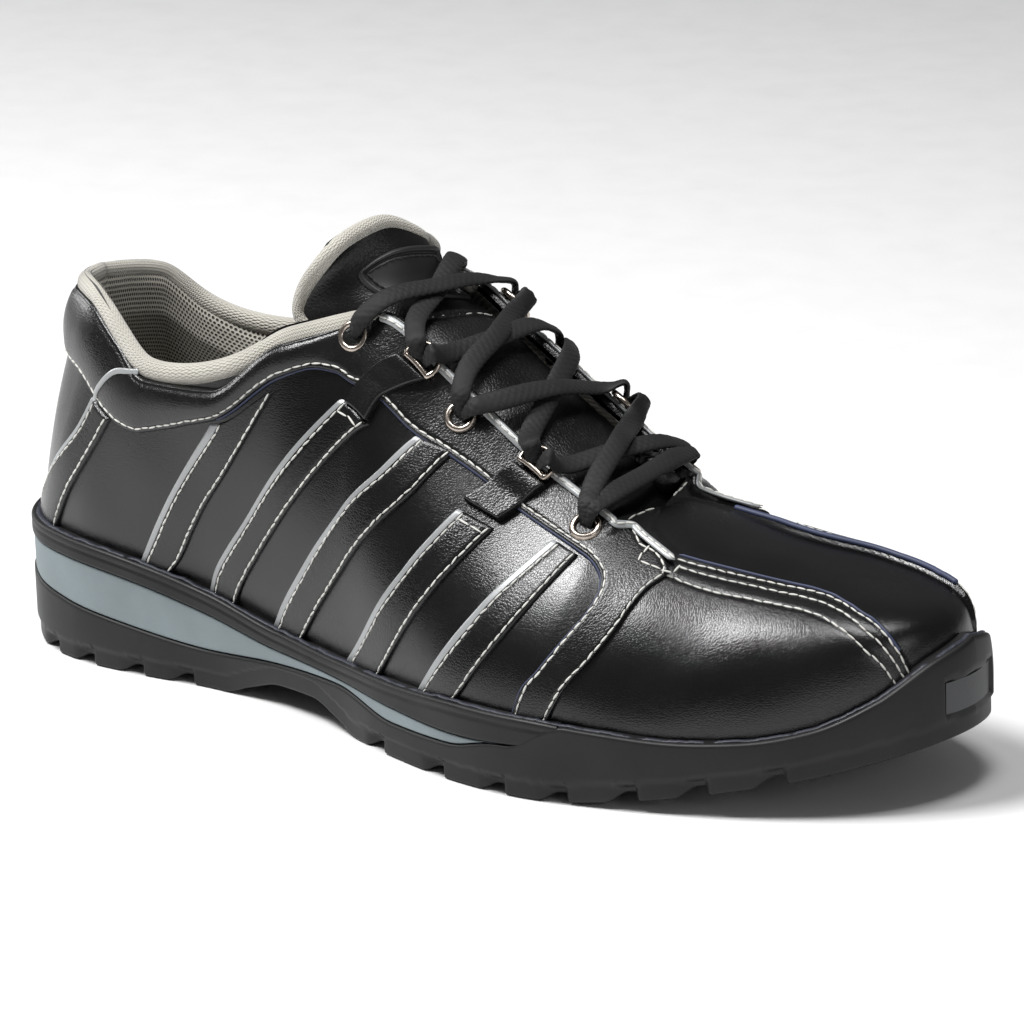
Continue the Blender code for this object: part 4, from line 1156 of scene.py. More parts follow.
class Palette:
    """Makes each finish once, from node groups that the finishes share."""

    def __init__(self) -> None:
        """Builds the shared groups."""
        self.groups = {
            Surface.GRAIN: grain_group(), Surface.STIPPLE: stipple_group(),
            Surface.KNIT: knit_group(), Surface.OPEN_MESH: open_mesh_group(),
        }
        self.wear = wear_group()
        self.made: dict[str, bpy.types.Material] = {}

    def get(self, finish: Finish) -> bpy.types.Material:
        """The finish's material."""
        if finish.name not in self.made:
            self.made[finish.name] = self.mix(finish)
        return self.made[finish.name]

    def mix(self, finish: Finish) -> bpy.types.Material:
        """Builds a material.

        Args:
            finish: its colour, gloss and relief.

        Returns:
            The new material.
        """
        material = bpy.data.materials.new(finish.name)
        material.use_nodes = True
        graph = Graph(material.node_tree)
        shader = material.node_tree.nodes["Principled BSDF"]
        places = graph.add("ShaderNodeTexCoord")
        laid = finish.surface in (Surface.KNIT, Surface.OPEN_MESH)
        vector = places.outputs["UV" if laid else "Object"]
        wear = graph.add("ShaderNodeGroup", node_tree=self.wear)
        graph.put(wear.inputs["Vector"], places.outputs["Object"])
        graph.put(wear.inputs["Scale"], 1000.0)
        tone = graph.fit(wear.outputs["Patch"], 0.3, 0.7, 0.85, 1.15)
        vary = 0.12 if finish.surface is not Surface.PLAIN else 0.0
        dark, light = (tuple(share * c for c in finish.colour) + (1.0,) for share in (1 - vary, 1 + vary))
        colour = graph.blend(graph.fit(wear.outputs["Patch"], 0.3, 0.7), dark, light)
        if finish.surface is not Surface.PLAIN:
            relief = graph.add("ShaderNodeGroup", node_tree=self.groups[finish.surface])
            graph.put(relief.inputs["Vector"], vector)
            graph.put(relief.inputs["Scale"], finish.scale)
            # Painted shade: the holes of an open mesh take the finish's dark second colour
            if finish.second:
                colour = graph.blend(relief.outputs["Hole"], colour, finish.second + (1.0,))
            bump = graph.add("ShaderNodeBump", {"Strength": finish.strength, "Distance": finish.depth,
                                                "Height": relief.outputs["Height"]})
            graph.put(shader.inputs["Normal"], bump.outputs[0])
        if finish.scuff:
            mask = graph.math("MULTIPLY", wear.outputs["Scratch"], finish.scuff)
            colour = graph.blend(mask, colour, finish.scuff_colour + (1.0,))
        graph.put(shader.inputs["Base Color"], colour)
        graph.put(shader.inputs["Roughness"], graph.math("MULTIPLY", tone, finish.roughness, True))
        shader.inputs["Metallic"].default_value = finish.metallic
        shader.inputs["Specular IOR Level"].default_value = finish.specular
        shader.inputs["Sheen Weight"].default_value = finish.sheen
        return material


def dress(piece: bpy.types.Object, material: bpy.types.Material, slot: Slot,
          *nodes: str) -> bpy.types.Object:
    """Gives a piece its material, hangs it on the root body and hides the nodes it stands for."""
    piece.data.materials.clear()
    piece.data.materials.append(material)
    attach(piece, "root")
    if nodes:
        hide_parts(*nodes)
    LOG.info("%s: %d faces", piece.name, len(piece.data.polygons))
    return piece


@dataclass
class UpperSkin:
    """The main leather of both sides, with the vamp's lower middle and its seams."""

    palette: Palette
    columns: int = 420
    rows: dict[Side, int] = field(default_factory=lambda: {Side.LATERAL: 120, Side.MEDIAL: 90})

    def half(self, side: Side) -> bpy.types.Object:
        """One side's leather."""
        def mapping(u: np.ndarray, v: np.ndarray) -> np.ndarray:
            """Rows run along u and rises along v."""
            return leather_points(side, u * SOLE.last, v)

        size = (SOLE.last, 1.0)
        return laid_grid("half", self.columns, self.rows[side], mapping, size, side is Side.MEDIAL)

    def edges(self) -> bpy.types.Object:
        """The raw edges where the side pieces of the vamp lie over its middle."""
        pieces = []
        for side in Side:
            places = [place for place in VAMP_EDGE[side] if 11.3 < place.row < 15.6]
            path, normals = skin_path(side, places, 220, 0.0001 if side is Side.MEDIAL else -0.0001)
            wide, thick = (0.0018, 0.0016) if side is Side.MEDIAL else (0.0008, 0.0011)
            pieces.append(tube("edge", path, normals, wide, thick, 10))
        return joined("vamp_raw_edges", pieces)

    def seams(self) -> list[Seam]:
        """The vamp's stitch lines."""
        found = []
        for side in Side:
            found += [skin_path(side, line, 160, THREAD_LIFT) for line in VAMP_SEAMS[side]]
            found.append(skin_path(side, THROAT_ARC, 30, THREAD_LIFT))
        found.append(skin_path(Side.LATERAL, BARTACK, 90, 0.0016))
        return found

    def build(self) -> list[Seam]:
        """Makes the leather and gives its seams."""
        whole = joined("main_leather", [self.half(side) for side in Side], 6e-5)
        dress(whole, self.palette.get(FINE_LEATHER), Slot.LEATHER,
              "upper", "vamp_band_lateral", "vamp_band_medial")
        dress(self.edges(), self.palette.get(RAW_EDGE), Slot.LEATHER)
        return self.seams()


@dataclass
class SideStrips:
    """The slanted strips of each side, their piping and their two stitch lines."""

    palette: Palette

    def build(self) -> list[Seam]:
        """Makes strips and piping and gives their seams."""
        strips, piping, seams = [], [], []
        for side in Side:
            for name, pairs in STRIPS.items():
                band = Overlay(f"strip_{name}", side, pairs, STRIP_LIFT, 84, 22, first=PIPING_SHARE,
                               roll=(0.0007, 0.0010), end_roll=(0.0, 0.0009),
                               seams=(STRIP_SEAM, STRIP_SEAM))
                strips.append(band.build())
                trim = Overlay(f"piping_{name}", side, pairs, PIPING_LIFT, 70, 8, last=PIPING_SHARE + 0.05,
                               roll=(0.0006, 0.0002), end_roll=(0.0, 0.0006))
                piping.append(trim.build())
                seams += [band.line(STRIP_SEAM, far=far, end=0.985) for far in (False, True)]
                if name in ("c", "e"):
                    seams.append(band.cross(0.955, 0.12, 0.88))
        dress(joined("side_strips", strips), self.palette.get(PEBBLE_LEATHER), Slot.LEATHER,
              *(f"side_band_{word}_{number}" for word in ("lateral", "medial") for number in range(1, 7)))
        dress(joined("strip_piping", piping), self.palette.get(PIPING), Slot.LEATHER)
        return seams


@dataclass
class TopPanel:
    """The collar piece, the eyestay and the leg in front of the strips, in one raised leather."""

    palette: Palette
    panels: dict[Side, Overlay] = field(init=False)

    def __post_init__(self) -> None:
        """Measures both sides."""
        self.panels = {
            side: Overlay("panel", side, TOP_PANEL, PANEL_LIFT, 520, 44, roll=(0.0010, 0.0009),
                          seams=PANEL_SEAMS, puff=self.puff)
            for side in Side
        }

    @staticmethod
    def puff(u: np.ndarray, t: np.ndarray) -> np.ndarray:
        """The padding under the collar piece."""
        return 0.0021 * np.sin(math.pi * np.clip(t, 0, 1)) ** 0.7 * smooth_step(0.50, 0.34, u)

    def collar_seams(self) -> bpy.types.Object:
        """The silver lines down the collar piece."""
        pieces = []
        for side, panel in self.panels.items():
            table, index = np.array(COLLAR_SEAM, float), np.arange(4.0)
            fine = hermite(index, table, chord_slopes(index, table), np.linspace(0, 3, 60))
            row, rise = fine[:, 0], fine[:, 1]
            turn = int(np.argmax(panel.table[:, 0]))
            part = panel.table[:turn]
            u = np.interp(row, part[:, 0], panel.run[:turn]) / panel.run[-1]
            low, high = (np.interp(row, part[:, 0], part[:, c]) for c in (1, 3))
            width = np.interp(u, panel.run / panel.run[-1], panel.width)
            lift = panel.height(u, np.clip((rise - low) / (high - low), 0.02, 0.98), width)
            points = leather_points(side, row, rise, lift + 0.0001)
            pieces.append(tube("seam", points, UPPER.frame(side, row, rise)[1], 0.0017, 0.0008, 10))
        return joined("collar_seams", pieces)

    def raw_edges(self) -> bpy.types.Object:
        """The cut edge towards the strips and along the leg."""
        pieces = []
        for panel in self.panels.values():
            path, normals = panel.line(0.00025, start=0.30, end=1.0, count=240)
            pieces.append(tube("edge", path - normals * 0.0006, normals, 0.0007, 0.0013, 8))
        return joined("panel_raw_edges", pieces)

    def build(self) -> list[Seam]:
        """Makes the panels and gives their seams."""
        pieces = [panel.build() for panel in self.panels.values()]
        dress(joined("top_panels", pieces, 4e-5), self.palette.get(PEBBLE_LEATHER), Slot.LEATHER,
              "eyestay_lateral", "eyestay_medial")
        dress(self.collar_seams(), self.palette.get(PIPING), Slot.LEATHER)
        dress(self.raw_edges(), self.palette.get(RAW_EDGE), Slot.LEATHER)
        seams = []
        for panel in self.panels.values():
            seams.append(panel.line(PANEL_SEAMS[0], count=420))
            seams.append(panel.line(PANEL_SEAMS[1], far=True, start=0.745))
        return seams


@dataclass
class ThroatBinding:
    """The narrow silver binding along both edges of the throat."""

    palette: Palette
    places: tuple[Place, ...] = tuple(rows_of(
        Place,
        7.02, 0.980, 7.60, 0.980, 8.20, 0.980, 8.80, 0.980, 9.40, 0.978, 9.85, 0.972, 10.20, 0.945,
        10.50, 0.895, 10.85, 0.825, 11.15, 0.775, 11.45, 0.755, 11.62, 0.725,
    ))

    def build(self) -> list[Seam]:
        """Makes the binding and gives its seams."""
        pieces, seams = [], []
        for side in Side:
            path, normals = skin_path(side, self.places, 260, PANEL_LIFT + 0.0003)
            path = evened(path, 24)
            pieces.append(tube("binding", path, normals, 0.0024, 0.0011, 12))
            seams.append((path + normals * 0.0006, normals))
        dress(joined("throat_binding", pieces), self.palette.get(PIPING), Slot.LEATHER)
        return seams


@dataclass
class Collar:
    """The knit binding round the collar and the open lining inside it."""

    palette: Palette
    front: dict[Side, float] = field(default_factory=lambda: {Side.LATERAL: 7.05, Side.MEDIAL: 7.30})
    depths: tuple[tuple[float, float], ...] = (
        (0.0, 0.0026), (0.3, 0.0028), (0.6, 0.0046), (0.82, 0.0062), (0.93, 0.0048), (1.0, 0.0022))

    def round_collar(self, count: int) -> list[tuple[Side, np.ndarray]]:
        """Rows from the outer front, round the heel, to the inner front."""
        return [
            (Side.LATERAL, np.linspace(self.front[Side.LATERAL], 0.0, count)),
            (Side.MEDIAL, np.linspace(0.0, self.front[Side.MEDIAL], count)[1:]),
        ]

    def binding(self) -> bpy.types.Object:
        """The knit band rolled over the top edge."""
        path, ups = [], []
        for side, rows in self.round_collar(120):
            drop = np.interp(rows, [0, 2, 6.4, 7.4], [0.966, 0.962, 0.965, 0.985])
            points, normals = UPPER.frame(side, rows, drop)
            path.append(points - normals * 0.0013)
            ups.append(normals)
        path, ups = np.concatenate(path), np.concatenate(ups)
        even = evened(resample(np.concatenate([path, ups], 1), 330), 70)
        return tube("collar_binding", even[:, :3], unit(even[:, 3:]), 0.0062, 0.0046, 22)

    def lining(self) -> bpy.types.Object:
        """The padded inner face."""
        table = np.array(self.depths)
        split, front, thin = 220, 9.9, 0.0021
        rows = np.concatenate([np.linspace(front, 0.0, split), np.linspace(0.0, front, split)[1:]])

        def mapping(u: np.ndarray, v: np.ndarray) -> np.ndarray:
            """Goes round the inside from the outer throat to the inner throat."""
            at = u * (len(rows) - 1)
            row = np.interp(at, np.arange(len(rows)), rows)
            deep = np.interp(v, table[:, 0], table[:, 1])
            deep = thin + (deep - thin) * smooth_step(6.6, 5.0, row)
            outer, inner = at < split, at >= split
            points = np.empty((len(u), 3))
            for side, chosen in ((Side.LATERAL, outer), (Side.MEDIAL, inner)):
                points[chosen] = UPPER.points(side, row[chosen], v[chosen], -deep[chosen])
            return points

        return laid_grid("collar_lining", 400, 80, mapping, (0.46, 0.085))

    def build(self) -> list[Seam]:
        """Makes the binding and the lining."""
        dress(self.binding(), self.palette.get(KNIT_BINDING), Slot.LINING)
        lining = dress(self.lining(), self.palette.get(OPEN_LINING), Slot.LINING)
        return []


def tongue_line(row: float, outer: float, inner: float, crown: float, clear: float) -> list[np.ndarray]:
    """A cross row of the tongue under the throat's two edges."""
    depth = UPPER_WALL + clear * TONGUE_CLEAR
    halves = [
        [UPPER.points(side, row, rise, -depth)[0] for rise in (low, 0.5 * (low + 1.0), 1.0)]
        for side, low in ((Side.LATERAL, outer), (Side.MEDIAL, inner))
    ]
    centre = 0.5 * (halves[0][-1] + halves[1][-1]) + [0, 0, crown * INSTEP]
    return halves[0] + [centre] + halves[1][::-1]


class TongueForm:
    """The tongue's face, from its outer to its inner edge and from its tip down."""

    def __init__(self, across: int = 85, along: int = 181) -> None:
        """Lays the face."""
        scale = [LENGTH, BALL_WIDTH, INSTEP]
        lines = [[np.array(p) * scale - MIDDLE for p in row] for row in TONGUE_TOP]
        lines += [tongue_line(*row) for row in TONGUE_ROWS]
        depth = UPPER_WALL + 2 * TONGUE_CLEAR
        under = [UPPER.points(Side.LATERAL, 11.25, rise, -depth)[0] for rise in (0.70, 0.80, 0.90, 1.0)]
        under += [UPPER.points(Side.MEDIAL, 11.25, rise, -depth)[0] for rise in (0.90, 0.80, 0.70)]
        cross = np.array([smooth_line(line, across) for line in [*lines, under]])
        self.grid = np.array([smooth_line(cross[:, c], along) for c in range(across)])
        self.up = unit(np.cross(np.gradient(self.grid, axis=1), np.gradient(self.grid, axis=0)))

    def at(self, across: np.ndarray, along: np.ndarray, lift: Amount = 0.0) -> Seam:
        """Points over the face and their normals, at shares across and along."""
        size = np.array(self.grid.shape[:2]) - 1
        a, b = np.clip(across, 0, 1) * size[0], np.clip(along, 0, 1) * size[1]
        i, j = np.minimum(a.astype(int), size[0] - 1), np.minimum(b.astype(int), size[1] - 1)
        s, t = (a - i)[:, None], (b - j)[:, None]
        point, up = (
            layer[i, j] * (1 - s) * (1 - t) + layer[i + 1, j] * s * (1 - t)
            + layer[i, j + 1] * (1 - s) * t + layer[i + 1, j + 1] * s * t
            for layer in (self.grid, self.up)
        )
        up = unit(up)
        return point + up * np.broadcast_to(np.asarray(lift, float), across.shape)[:, None], up


@dataclass
class Tongue:
    """The padded tongue, its knit binding and its plain patch."""

    palette: Palette
    form: TongueForm = field(default_factory=TongueForm)

    def pad(self) -> bpy.types.Object:
        """The padded body."""
        def mapping(u: np.ndarray, v: np.ndarray) -> np.ndarray:
            """Swells a little between its seams."""
            swell = 0.0009 * np.sin(math.pi * u) ** 0.6 * np.sin(math.pi * np.clip(v / 0.42, 0, 1)) ** 0.6
            swell -= 0.0011 * np.exp(-((v - 0.272) / 0.008) ** 2) * smooth_step(0.0, 0.1, u)
            return self.form.at(0.03 + 0.94 * u, 0.010 + 0.990 * v, swell - 0.0004)[0]

        pad = laid_grid("tongue_pad", 84, 180, mapping, (0.08, 0.13), True)
        wall = pad.modifiers.new("thickness", "SOLIDIFY")
        wall.thickness, wall.offset = 0.0034, -1.0
        return pad

    def binding(self) -> bpy.types.Object:
        """The knit band round the free edge."""
        side = np.linspace(0.33, 0.020, 60)
        over = np.linspace(0.045, 0.955, 60)
        across = np.concatenate([np.full(60, 0.045), over[1:-1], np.full(60, 0.955)])
        along = np.concatenate([side, np.full(58, 0.018), side[::-1]])
        points, ups = self.form.at(across, along, -0.0016)
        smooth = evened(resample(np.concatenate([points, ups], 1), 320), 6)
        return tube("tongue_binding", smooth[:, :3], unit(smooth[:, 3:]), 0.0044, 0.0044, 20)

    def patch_place(self, u: np.ndarray, v: np.ndarray) -> tuple[np.ndarray, np.ndarray]:
        """Shares over the tongue of a place on the patch."""
        table = np.array(PATCH_ROWS, float)
        column = table[0, 0] + u * (table[-1, 0] - table[0, 0])
        top, foot = (np.interp(column, table[:, 0], table[:, c]) for c in (1, 2))
        return column / PATCH_GRID, top + v * (foot - top)

    def patch(self) -> bpy.types.Object:
        """The plain patch with its rounded border."""
        def mapping(u: np.ndarray, v: np.ndarray) -> np.ndarray:
            """A field a little lower than its border."""
            edge = np.minimum(np.minimum(u, 1 - u) * 0.032, np.minimum(v, 1 - v) * 0.019)
            border = 0.0011 * np.sqrt(np.clip(1 - ((edge - 0.0011) / 0.0011) ** 2, 0, 1))
            field_lift = 0.0004 * smooth_step(0.0022, 0.0030, edge)
            return self.form.at(*self.patch_place(u, v), 0.0004 + border + field_lift)[0]

        return laid_grid("plain_patch", 100, 60, mapping, (0.032, 0.019), True)

    def patch_seam(self) -> Seam:
        """The stitches inside the border."""
        turn = np.linspace(0, 4, 200)
        near, far = 0.10, 0.90
        u = np.interp(turn, [0, 1, 2, 3, 4], [near, far, far, near, near])
        v = np.interp(turn, [0, 1, 2, 3, 4], [0.17, 0.17, 0.83, 0.83, 0.17])
        return self.form.at(*self.patch_place(u, v), 0.0009)

    def build(self) -> list[Seam]:
        """Makes the tongue and gives its white seam."""
        pad = dress(self.pad(), self.palette.get(TONGUE_LEATHER), Slot.LEATHER, "tongue")
        dress(self.binding(), self.palette.get(KNIT_BINDING), Slot.LINING)
        dress(self.patch(), self.palette.get(PATCH), Slot.LEATHER, "tongue_patch")
        stitches = sewn("patch_stitches", [self.patch_seam()], Thread(0.0021, 0.0006))
        dress(stitches, self.palette.get(DARK_THREAD), Slot.CORD)
        u = np.linspace(0.16, 0.90, 80)
        return [self.form.at(u, np.full(80, 0.272), -0.0004)]


@dataclass(frozen=True)
class Mount:
    """A point over the upper with the directions forward and up the skin."""

    centre: np.ndarray
    normal: np.ndarray
    ahead: np.ndarray
    up: np.ndarray

    @classmethod
    def on(cls, side: Side, place: Place, lift: float) -> Mount:
        """The mount at a place on the upper."""
        base, normal = (a[0] for a in UPPER.frame(side, place.row, place.rise))
        ahead = UPPER.points(side, place.row + 0.05, place.rise)[0] - base
        ahead = unit(ahead - normal * ahead.dot(normal))
        up = np.cross(normal, ahead)
        return cls(base + normal * lift, normal, ahead, up if up[2] > 0 else -up)


@dataclass
class Hardware:
    """The eyelets, the rings and the tabs that hold them."""

    palette: Palette
    profile: tuple[tuple[float, float], ...] = (
        (0.0024, -0.0012), (0.00245, 0.0001), (0.0027, 0.0007), (0.0031, 0.00095), (0.0035, 0.0010),
        (0.0039, 0.00085), (0.0042, 0.0005), (0.0044, 0.0000), (0.00445, -0.0005))
    tabs: tuple[list[Pair], ...] = (
        rows_of(Pair, 6.90, 0.745, 7.27, 0.715, 7.02, 0.80, 7.36, 0.79,
                7.20, 0.865, 7.56, 0.865, 7.40, 0.930, 7.76, 0.935),
        rows_of(Pair, 8.48, 0.735, 8.86, 0.745, 8.58, 0.80, 8.94, 0.80,
                8.66, 0.87, 9.03, 0.87, 8.74, 0.935, 9.12, 0.935),
    )

    def eyelet(self, side: Side, place: Place) -> bpy.types.Object:
        """A pressed ring with a rounded flange."""
        mount = Mount.on(side, place, PANEL_LIFT - SKIN_SINK)
        table = np.array(self.profile)

        def mapping(u: np.ndarray, v: np.ndarray) -> np.ndarray:
            """Turns the profile round the hole."""
            at = v * (len(table) - 1)
            radius, high = (np.interp(at, np.arange(len(table)), table[:, c]) for c in (0, 1))
            turn = -u * 2 * math.pi
            across = np.cross(mount.normal, mount.ahead)
            out = np.cos(turn)[:, None] * mount.ahead + np.sin(turn)[:, None] * across
            return mount.centre + out * radius[:, None] + mount.normal * high[:, None]

        return joined("eyelet", [laid_grid("eyelet", 48, 24, mapping, flip=True)], 1e-6)

    def ring(self, side: Side, place: Place) -> bpy.types.Object:
        """A wire ring with one straight side in its tab."""
        mount = Mount.on(side, place, PANEL_LIFT + 0.0016)
        turn = np.linspace(0, 2 * math.pi, 73)
        reach = np.sin(turn)
        flat = np.where(reach < -0.42, -0.42 - 0.25 * (reach + 0.42) / 2, reach)
        path = mount.centre + 0.0046 * (np.cos(turn)[:, None] * mount.ahead + flat[:, None] * mount.up)
        normals = np.broadcast_to(mount.normal, path.shape)
        return tube("ring", path, normals, 0.0017, 0.0017, 12, closed=True)

    def build(self) -> list[Seam]:
        """Makes eyelets, rings and tabs."""
        eyelets, rings, tabs = [], [], []
        for side in Side:
            eyelets += [self.eyelet(side, place) for place in EYELETS]
            rings += [self.ring(side, place) for place in RINGS]
            for pairs in self.tabs:
                tab = Overlay("tab", side, pairs, PANEL_LIFT + 0.0011, 60, 28, roll=(0.0007, 0.0007),
                              end_roll=(0.0006, 0.0016), puff=lambda u, t: 0.0016 * smooth_step(0.45, 0.9, u))
                tabs.append(tab.build())
        sides = ("lateral", "medial")
        dress(joined("eyelets", eyelets), self.palette.get(METAL), Slot.METAL,
              *(f"eyelet_{word}_{number}" for word in sides for number in (1, 2, 3)))
        dress(joined("lace_rings", rings), self.palette.get(METAL), Slot.METAL,
              *(f"lace_ring_{word}_{number}" for word in sides for number in (1, 2)))
        dress(joined("ring_tabs", tabs), self.palette.get(PEBBLE_LEATHER), Slot.LEATHER,
              *(f"ring_tab_{word}_{number}" for word in sides for number in (1, 2)))
        return []


class Hold(NamedTuple):
    """An eyelet or a ring that carries the lace."""

    side: Side
    place: Place
    ring: bool


@dataclass
class Lacing:
    """The lace, run through the eyelets and round the rings."""

    palette: Palette
    width: float = 0.0055
    thick: float = 0.0015
    pitch: float = 0.0021
    strand: float = 0.00016

    def holds(self) -> list[tuple[Hold, Hold, int]]:
        """Each run of the lace between two holds, with how many runs it lies over."""
        outer, inner = Side.LATERAL, Side.MEDIAL
        e1, e2, e3 = ({side: Hold(side, place, False) for side in Side} for place in EYELETS)
        r1, r2 = ({side: Hold(side, place, True) for side in Side} for place in RINGS)
        return [
            (e3[outer], e3[inner], 0), (e3[outer], r2[inner], 1), (r2[inner], e2[outer], 1),
            (e2[outer], r1[inner], 1), (r1[inner], e1[outer], 1), (e3[inner], r2[outer], 0),
            (r2[outer], e2[inner], 0), (e2[inner], r1[outer], 0), (r1[outer], e1[inner], 0),
        ]

    def anchor(self, hold: Hold, other: Hold) -> tuple[list[np.ndarray], list[np.ndarray], list[float]]:
        """Points, up directions and widths from inside a hold out to the throat's edge."""
        base = Mount.on(hold.side, hold.place, 0.0)
        edge_row = hold.place.row + 0.22 * (other.place.row - hold.place.row)
        edge, up = (a[0] for a in UPPER.frame(hold.side, edge_row, 1.0))
        edge = edge + up * 0.0038
        lean = unit(edge - base.centre)
        if hold.ring:
            steps, widths = ((0.0010, -0.0014), (0.0030, 0.0012), (0.0044, 0.0048)), (0.66, 0.80, 0.94)
        else:
            steps, widths = ((-0.0030, 0.0), (0.0012, 0.0006), (0.0031, 0.0042)), (0.42, 0.52, 0.86)
        points = [base.centre + base.normal * high + lean * out for high, out in steps]
        ups = [unit(base.normal - lean * 1.2), unit(base.normal - lean * 0.5), base.normal, up]
        return [*points, edge], ups, [*widths, 1.0]

    def run(self, start: Hold, end: Hold, over: int) -> bpy.types.Object:
        """One run of braided lace."""
        first = self.anchor(start, end)
        second = self.anchor(end, start)
        crown = unit(first[1][-1] + second[1][-1])
        centre = 0.5 * (first[0][-1] + second[0][-1]) + crown * (0.0008 + 0.0019 * over)
        points = np.array([*first[0], centre, *second[0][::-1]])
        ups = np.array([*first[1], crown, *second[1][::-1]])
        widths = np.array([*first[2], 1.0, *second[2][::-1]])
        run = run_of(points)
        values = np.concatenate([points, ups, widths[:, None]], 1)
        slopes = chord_slopes(run, values)
        fine = resample(hermite(run, values, slopes, np.linspace(0, run[-1], 500)), 250)
        path, ups, wide = fine[:, :3], unit(fine[:, 3:6]), fine[:, 6]
        length = run_of(path)

        def braid(at: np.ndarray, turn: np.ndarray) -> np.ndarray:
            """Crossing strands as small swellings, and a narrow waist at the holds."""
            one = np.cos(2 * math.pi * at / self.pitch + 6 * turn)
            two = np.cos(2 * math.pi * at / self.pitch - 6 * turn)
            narrow = (np.interp(at, length, wide) - 1) * self.width / 2 * np.abs(np.cos(turn))
            return self.strand * np.maximum(one, two) + narrow

        return tube("run", path, ups, self.width, self.thick, 26, braid)

    def build(self) -> list[Seam]:
        """Makes the lace."""
        runs = [self.run(*run) for run in self.holds()]
        dress(joined("lace_runs", runs), self.palette.get(CORD), Slot.CORD, "lace")
        return []


@dataclass
class SoleUnit:
    """Rim, cushion and outsole with its lugs and toe field."""

    palette: Palette

    def around(self, end: float | None, count: int) -> tuple[np.ndarray, np.ndarray]:
        """Signed rows round the edge, evenly spaced, outer side first; a closed loop without an end."""
        last = SOLE.last if end is None else end
        signed = np.concatenate([np.linspace(last, 0, 800), np.linspace(0, -last, 800)[1:]])
        outer = signed >= 0
        plan = np.empty((len(signed), 2))
        plan[outer] = SOLE.edge(Side.LATERAL, signed[outer])[0]
        plan[~outer] = SOLE.edge(Side.MEDIAL, -signed[~outer])[0]
        run = run_of(plan)
        return np.interp(np.linspace(0, run[-1], count + 1), run, signed), run

    @staticmethod
    def groove(row: np.ndarray) -> np.ndarray:
        """1 in a groove between lugs, 0 on a lug."""
        x = SOLE.edge(Side.LATERAL, row)[0][:, 0]
        mask = np.zeros_like(x)
        for centre in HEEL_GROOVES + BALL_GROOVES:
            away = x - centre * LENGTH
            back, front = GROOVE_WIDTH * 0.20, GROOVE_WIDTH * 0.40
            ramp = smooth_step(-back - LUG_RAMP, -back, away) ** 1.3
            mask = np.maximum(mask, ramp * smooth_step(front + LUG_STEEP, front, away))
        return mask

    def sweep(self, name: str, end: float | None, columns: int, rows: int,
              profile: Profile) -> bpy.types.Object:
        """A profile of inset and height carried round the sole's edge."""
        signed, run = self.around(end, columns)

        def mapping(u: np.ndarray, v: np.ndarray) -> np.ndarray:
            """Finds each side's points."""
            row = np.interp(u * columns, np.arange(columns + 1), signed)
            points = np.empty((len(u), 3))
            for side, chosen in ((Side.LATERAL, row >= 0), (Side.MEDIAL, row < 0)):
                inset, high = profile(np.full(chosen.sum(), side.value), np.abs(row[chosen]), v[chosen])
                points[chosen, :2] = SOLE.edge(side, np.abs(row[chosen]), inset)[0]
                points[chosen, 2] = high
            return points - MIDDLE

        return laid_grid(name, columns, rows, mapping, (float(run[-1]), 0.03), True)

    @staticmethod
    def wall(v: np.ndarray, low: np.ndarray, high: np.ndarray, under: float, ledge: float, round_low: float,
             round_high: float) -> tuple[np.ndarray, np.ndarray]:
        """A side wall with rounded corners, a strip of underside and a ledge on top."""
        part = np.clip((v - WALL_FOLD) / (1 - 2 * WALL_FOLD), 0, 1)
        height = low + (high - low) * (0.5 - 0.5 * np.cos(math.pi * part))
        inset = np.zeros_like(v)
        for away, radius in ((height - low, round_low), (high - height, round_high)):
            if radius:
                inset += radius * (1 - np.sqrt(np.clip(1 - (1 - np.clip(away / radius, 0, 1)) ** 2, 0, 1)))
        below, above = WALL_FOLD - v, v - (1 - WALL_FOLD)
        inset += np.clip(below / WALL_FOLD, 0, 1) * under + np.clip(above / WALL_FOLD, 0, 1) * ledge
        return inset, height

    @staticmethod
    def layers(row: np.ndarray) -> tuple[np.ndarray, np.ndarray]:
        """Heights where the outsole's wall ends and where the cushion starts."""
        wedge, rim = SOLE.row_at(WEDGE_END), SOLE.row_at(RIM_END)
        foot, top = SOLE.height("rim_foot", row), SOLE.height("rim_top", row)
        low = SOLE.height("wedge_foot", row)
        low = low + (foot - low) * smooth_step(wedge - 0.9, wedge, row)
        wall = low + (top - low) * smooth_step(rim - 0.75, rim + 0.15, row)
        return wall, low

    def rim(self) -> bpy.types.Object:
        """The black band under the upper."""
        def profile(side: np.ndarray, row: np.ndarray, v: np.ndarray) -> tuple[np.ndarray, np.ndarray]:
            """A soft band with a fine line under its top."""
            top, foot = SOLE.height("rim_top", row), SOLE.height("rim_foot", row)
            inset, height = self.wall(v, foot + GAP / 2, top, 0.003, 0.0030, 0.0007, 0.0009)
            line = np.exp(-((height - (top - 0.0023)) / 0.00035) ** 2)
            return inset + 0.00035 * line, height

        return self.sweep("rim_band", SOLE.row_at(RIM_END), 760, 26, profile)

    def feather(self) -> bpy.types.Object:
        """The uneven line of glue and paint where the upper meets the rubber."""
        signed = self.around(None, 900)[0]
        random = np.random.default_rng(7)
        points, ups = np.empty((901, 3)), np.tile([0.0, 0.0, 1.0], (901, 1))
        for side, chosen in ((Side.LATERAL, signed >= 0), (Side.MEDIAL, signed < 0)):
            row = np.abs(signed[chosen])
            inset = np.interp(row, [0, 10.5, 13, 17], [0.0021, 0.0021, 0.0027, 0.0029])
            points[chosen, :2] = SOLE.edge(side, row, inset)[0]
            points[chosen, 2] = SOLE.height("rim_top", row)
        rough = np.convolve(random.normal(0, 0.0004, 901), np.ones(5) / 5, "same")
        points[:, 2] += rough - 0.00005
        return tube("feather_line", points - MIDDLE, ups, 0.0016, 0.0008, 8, closed=True)

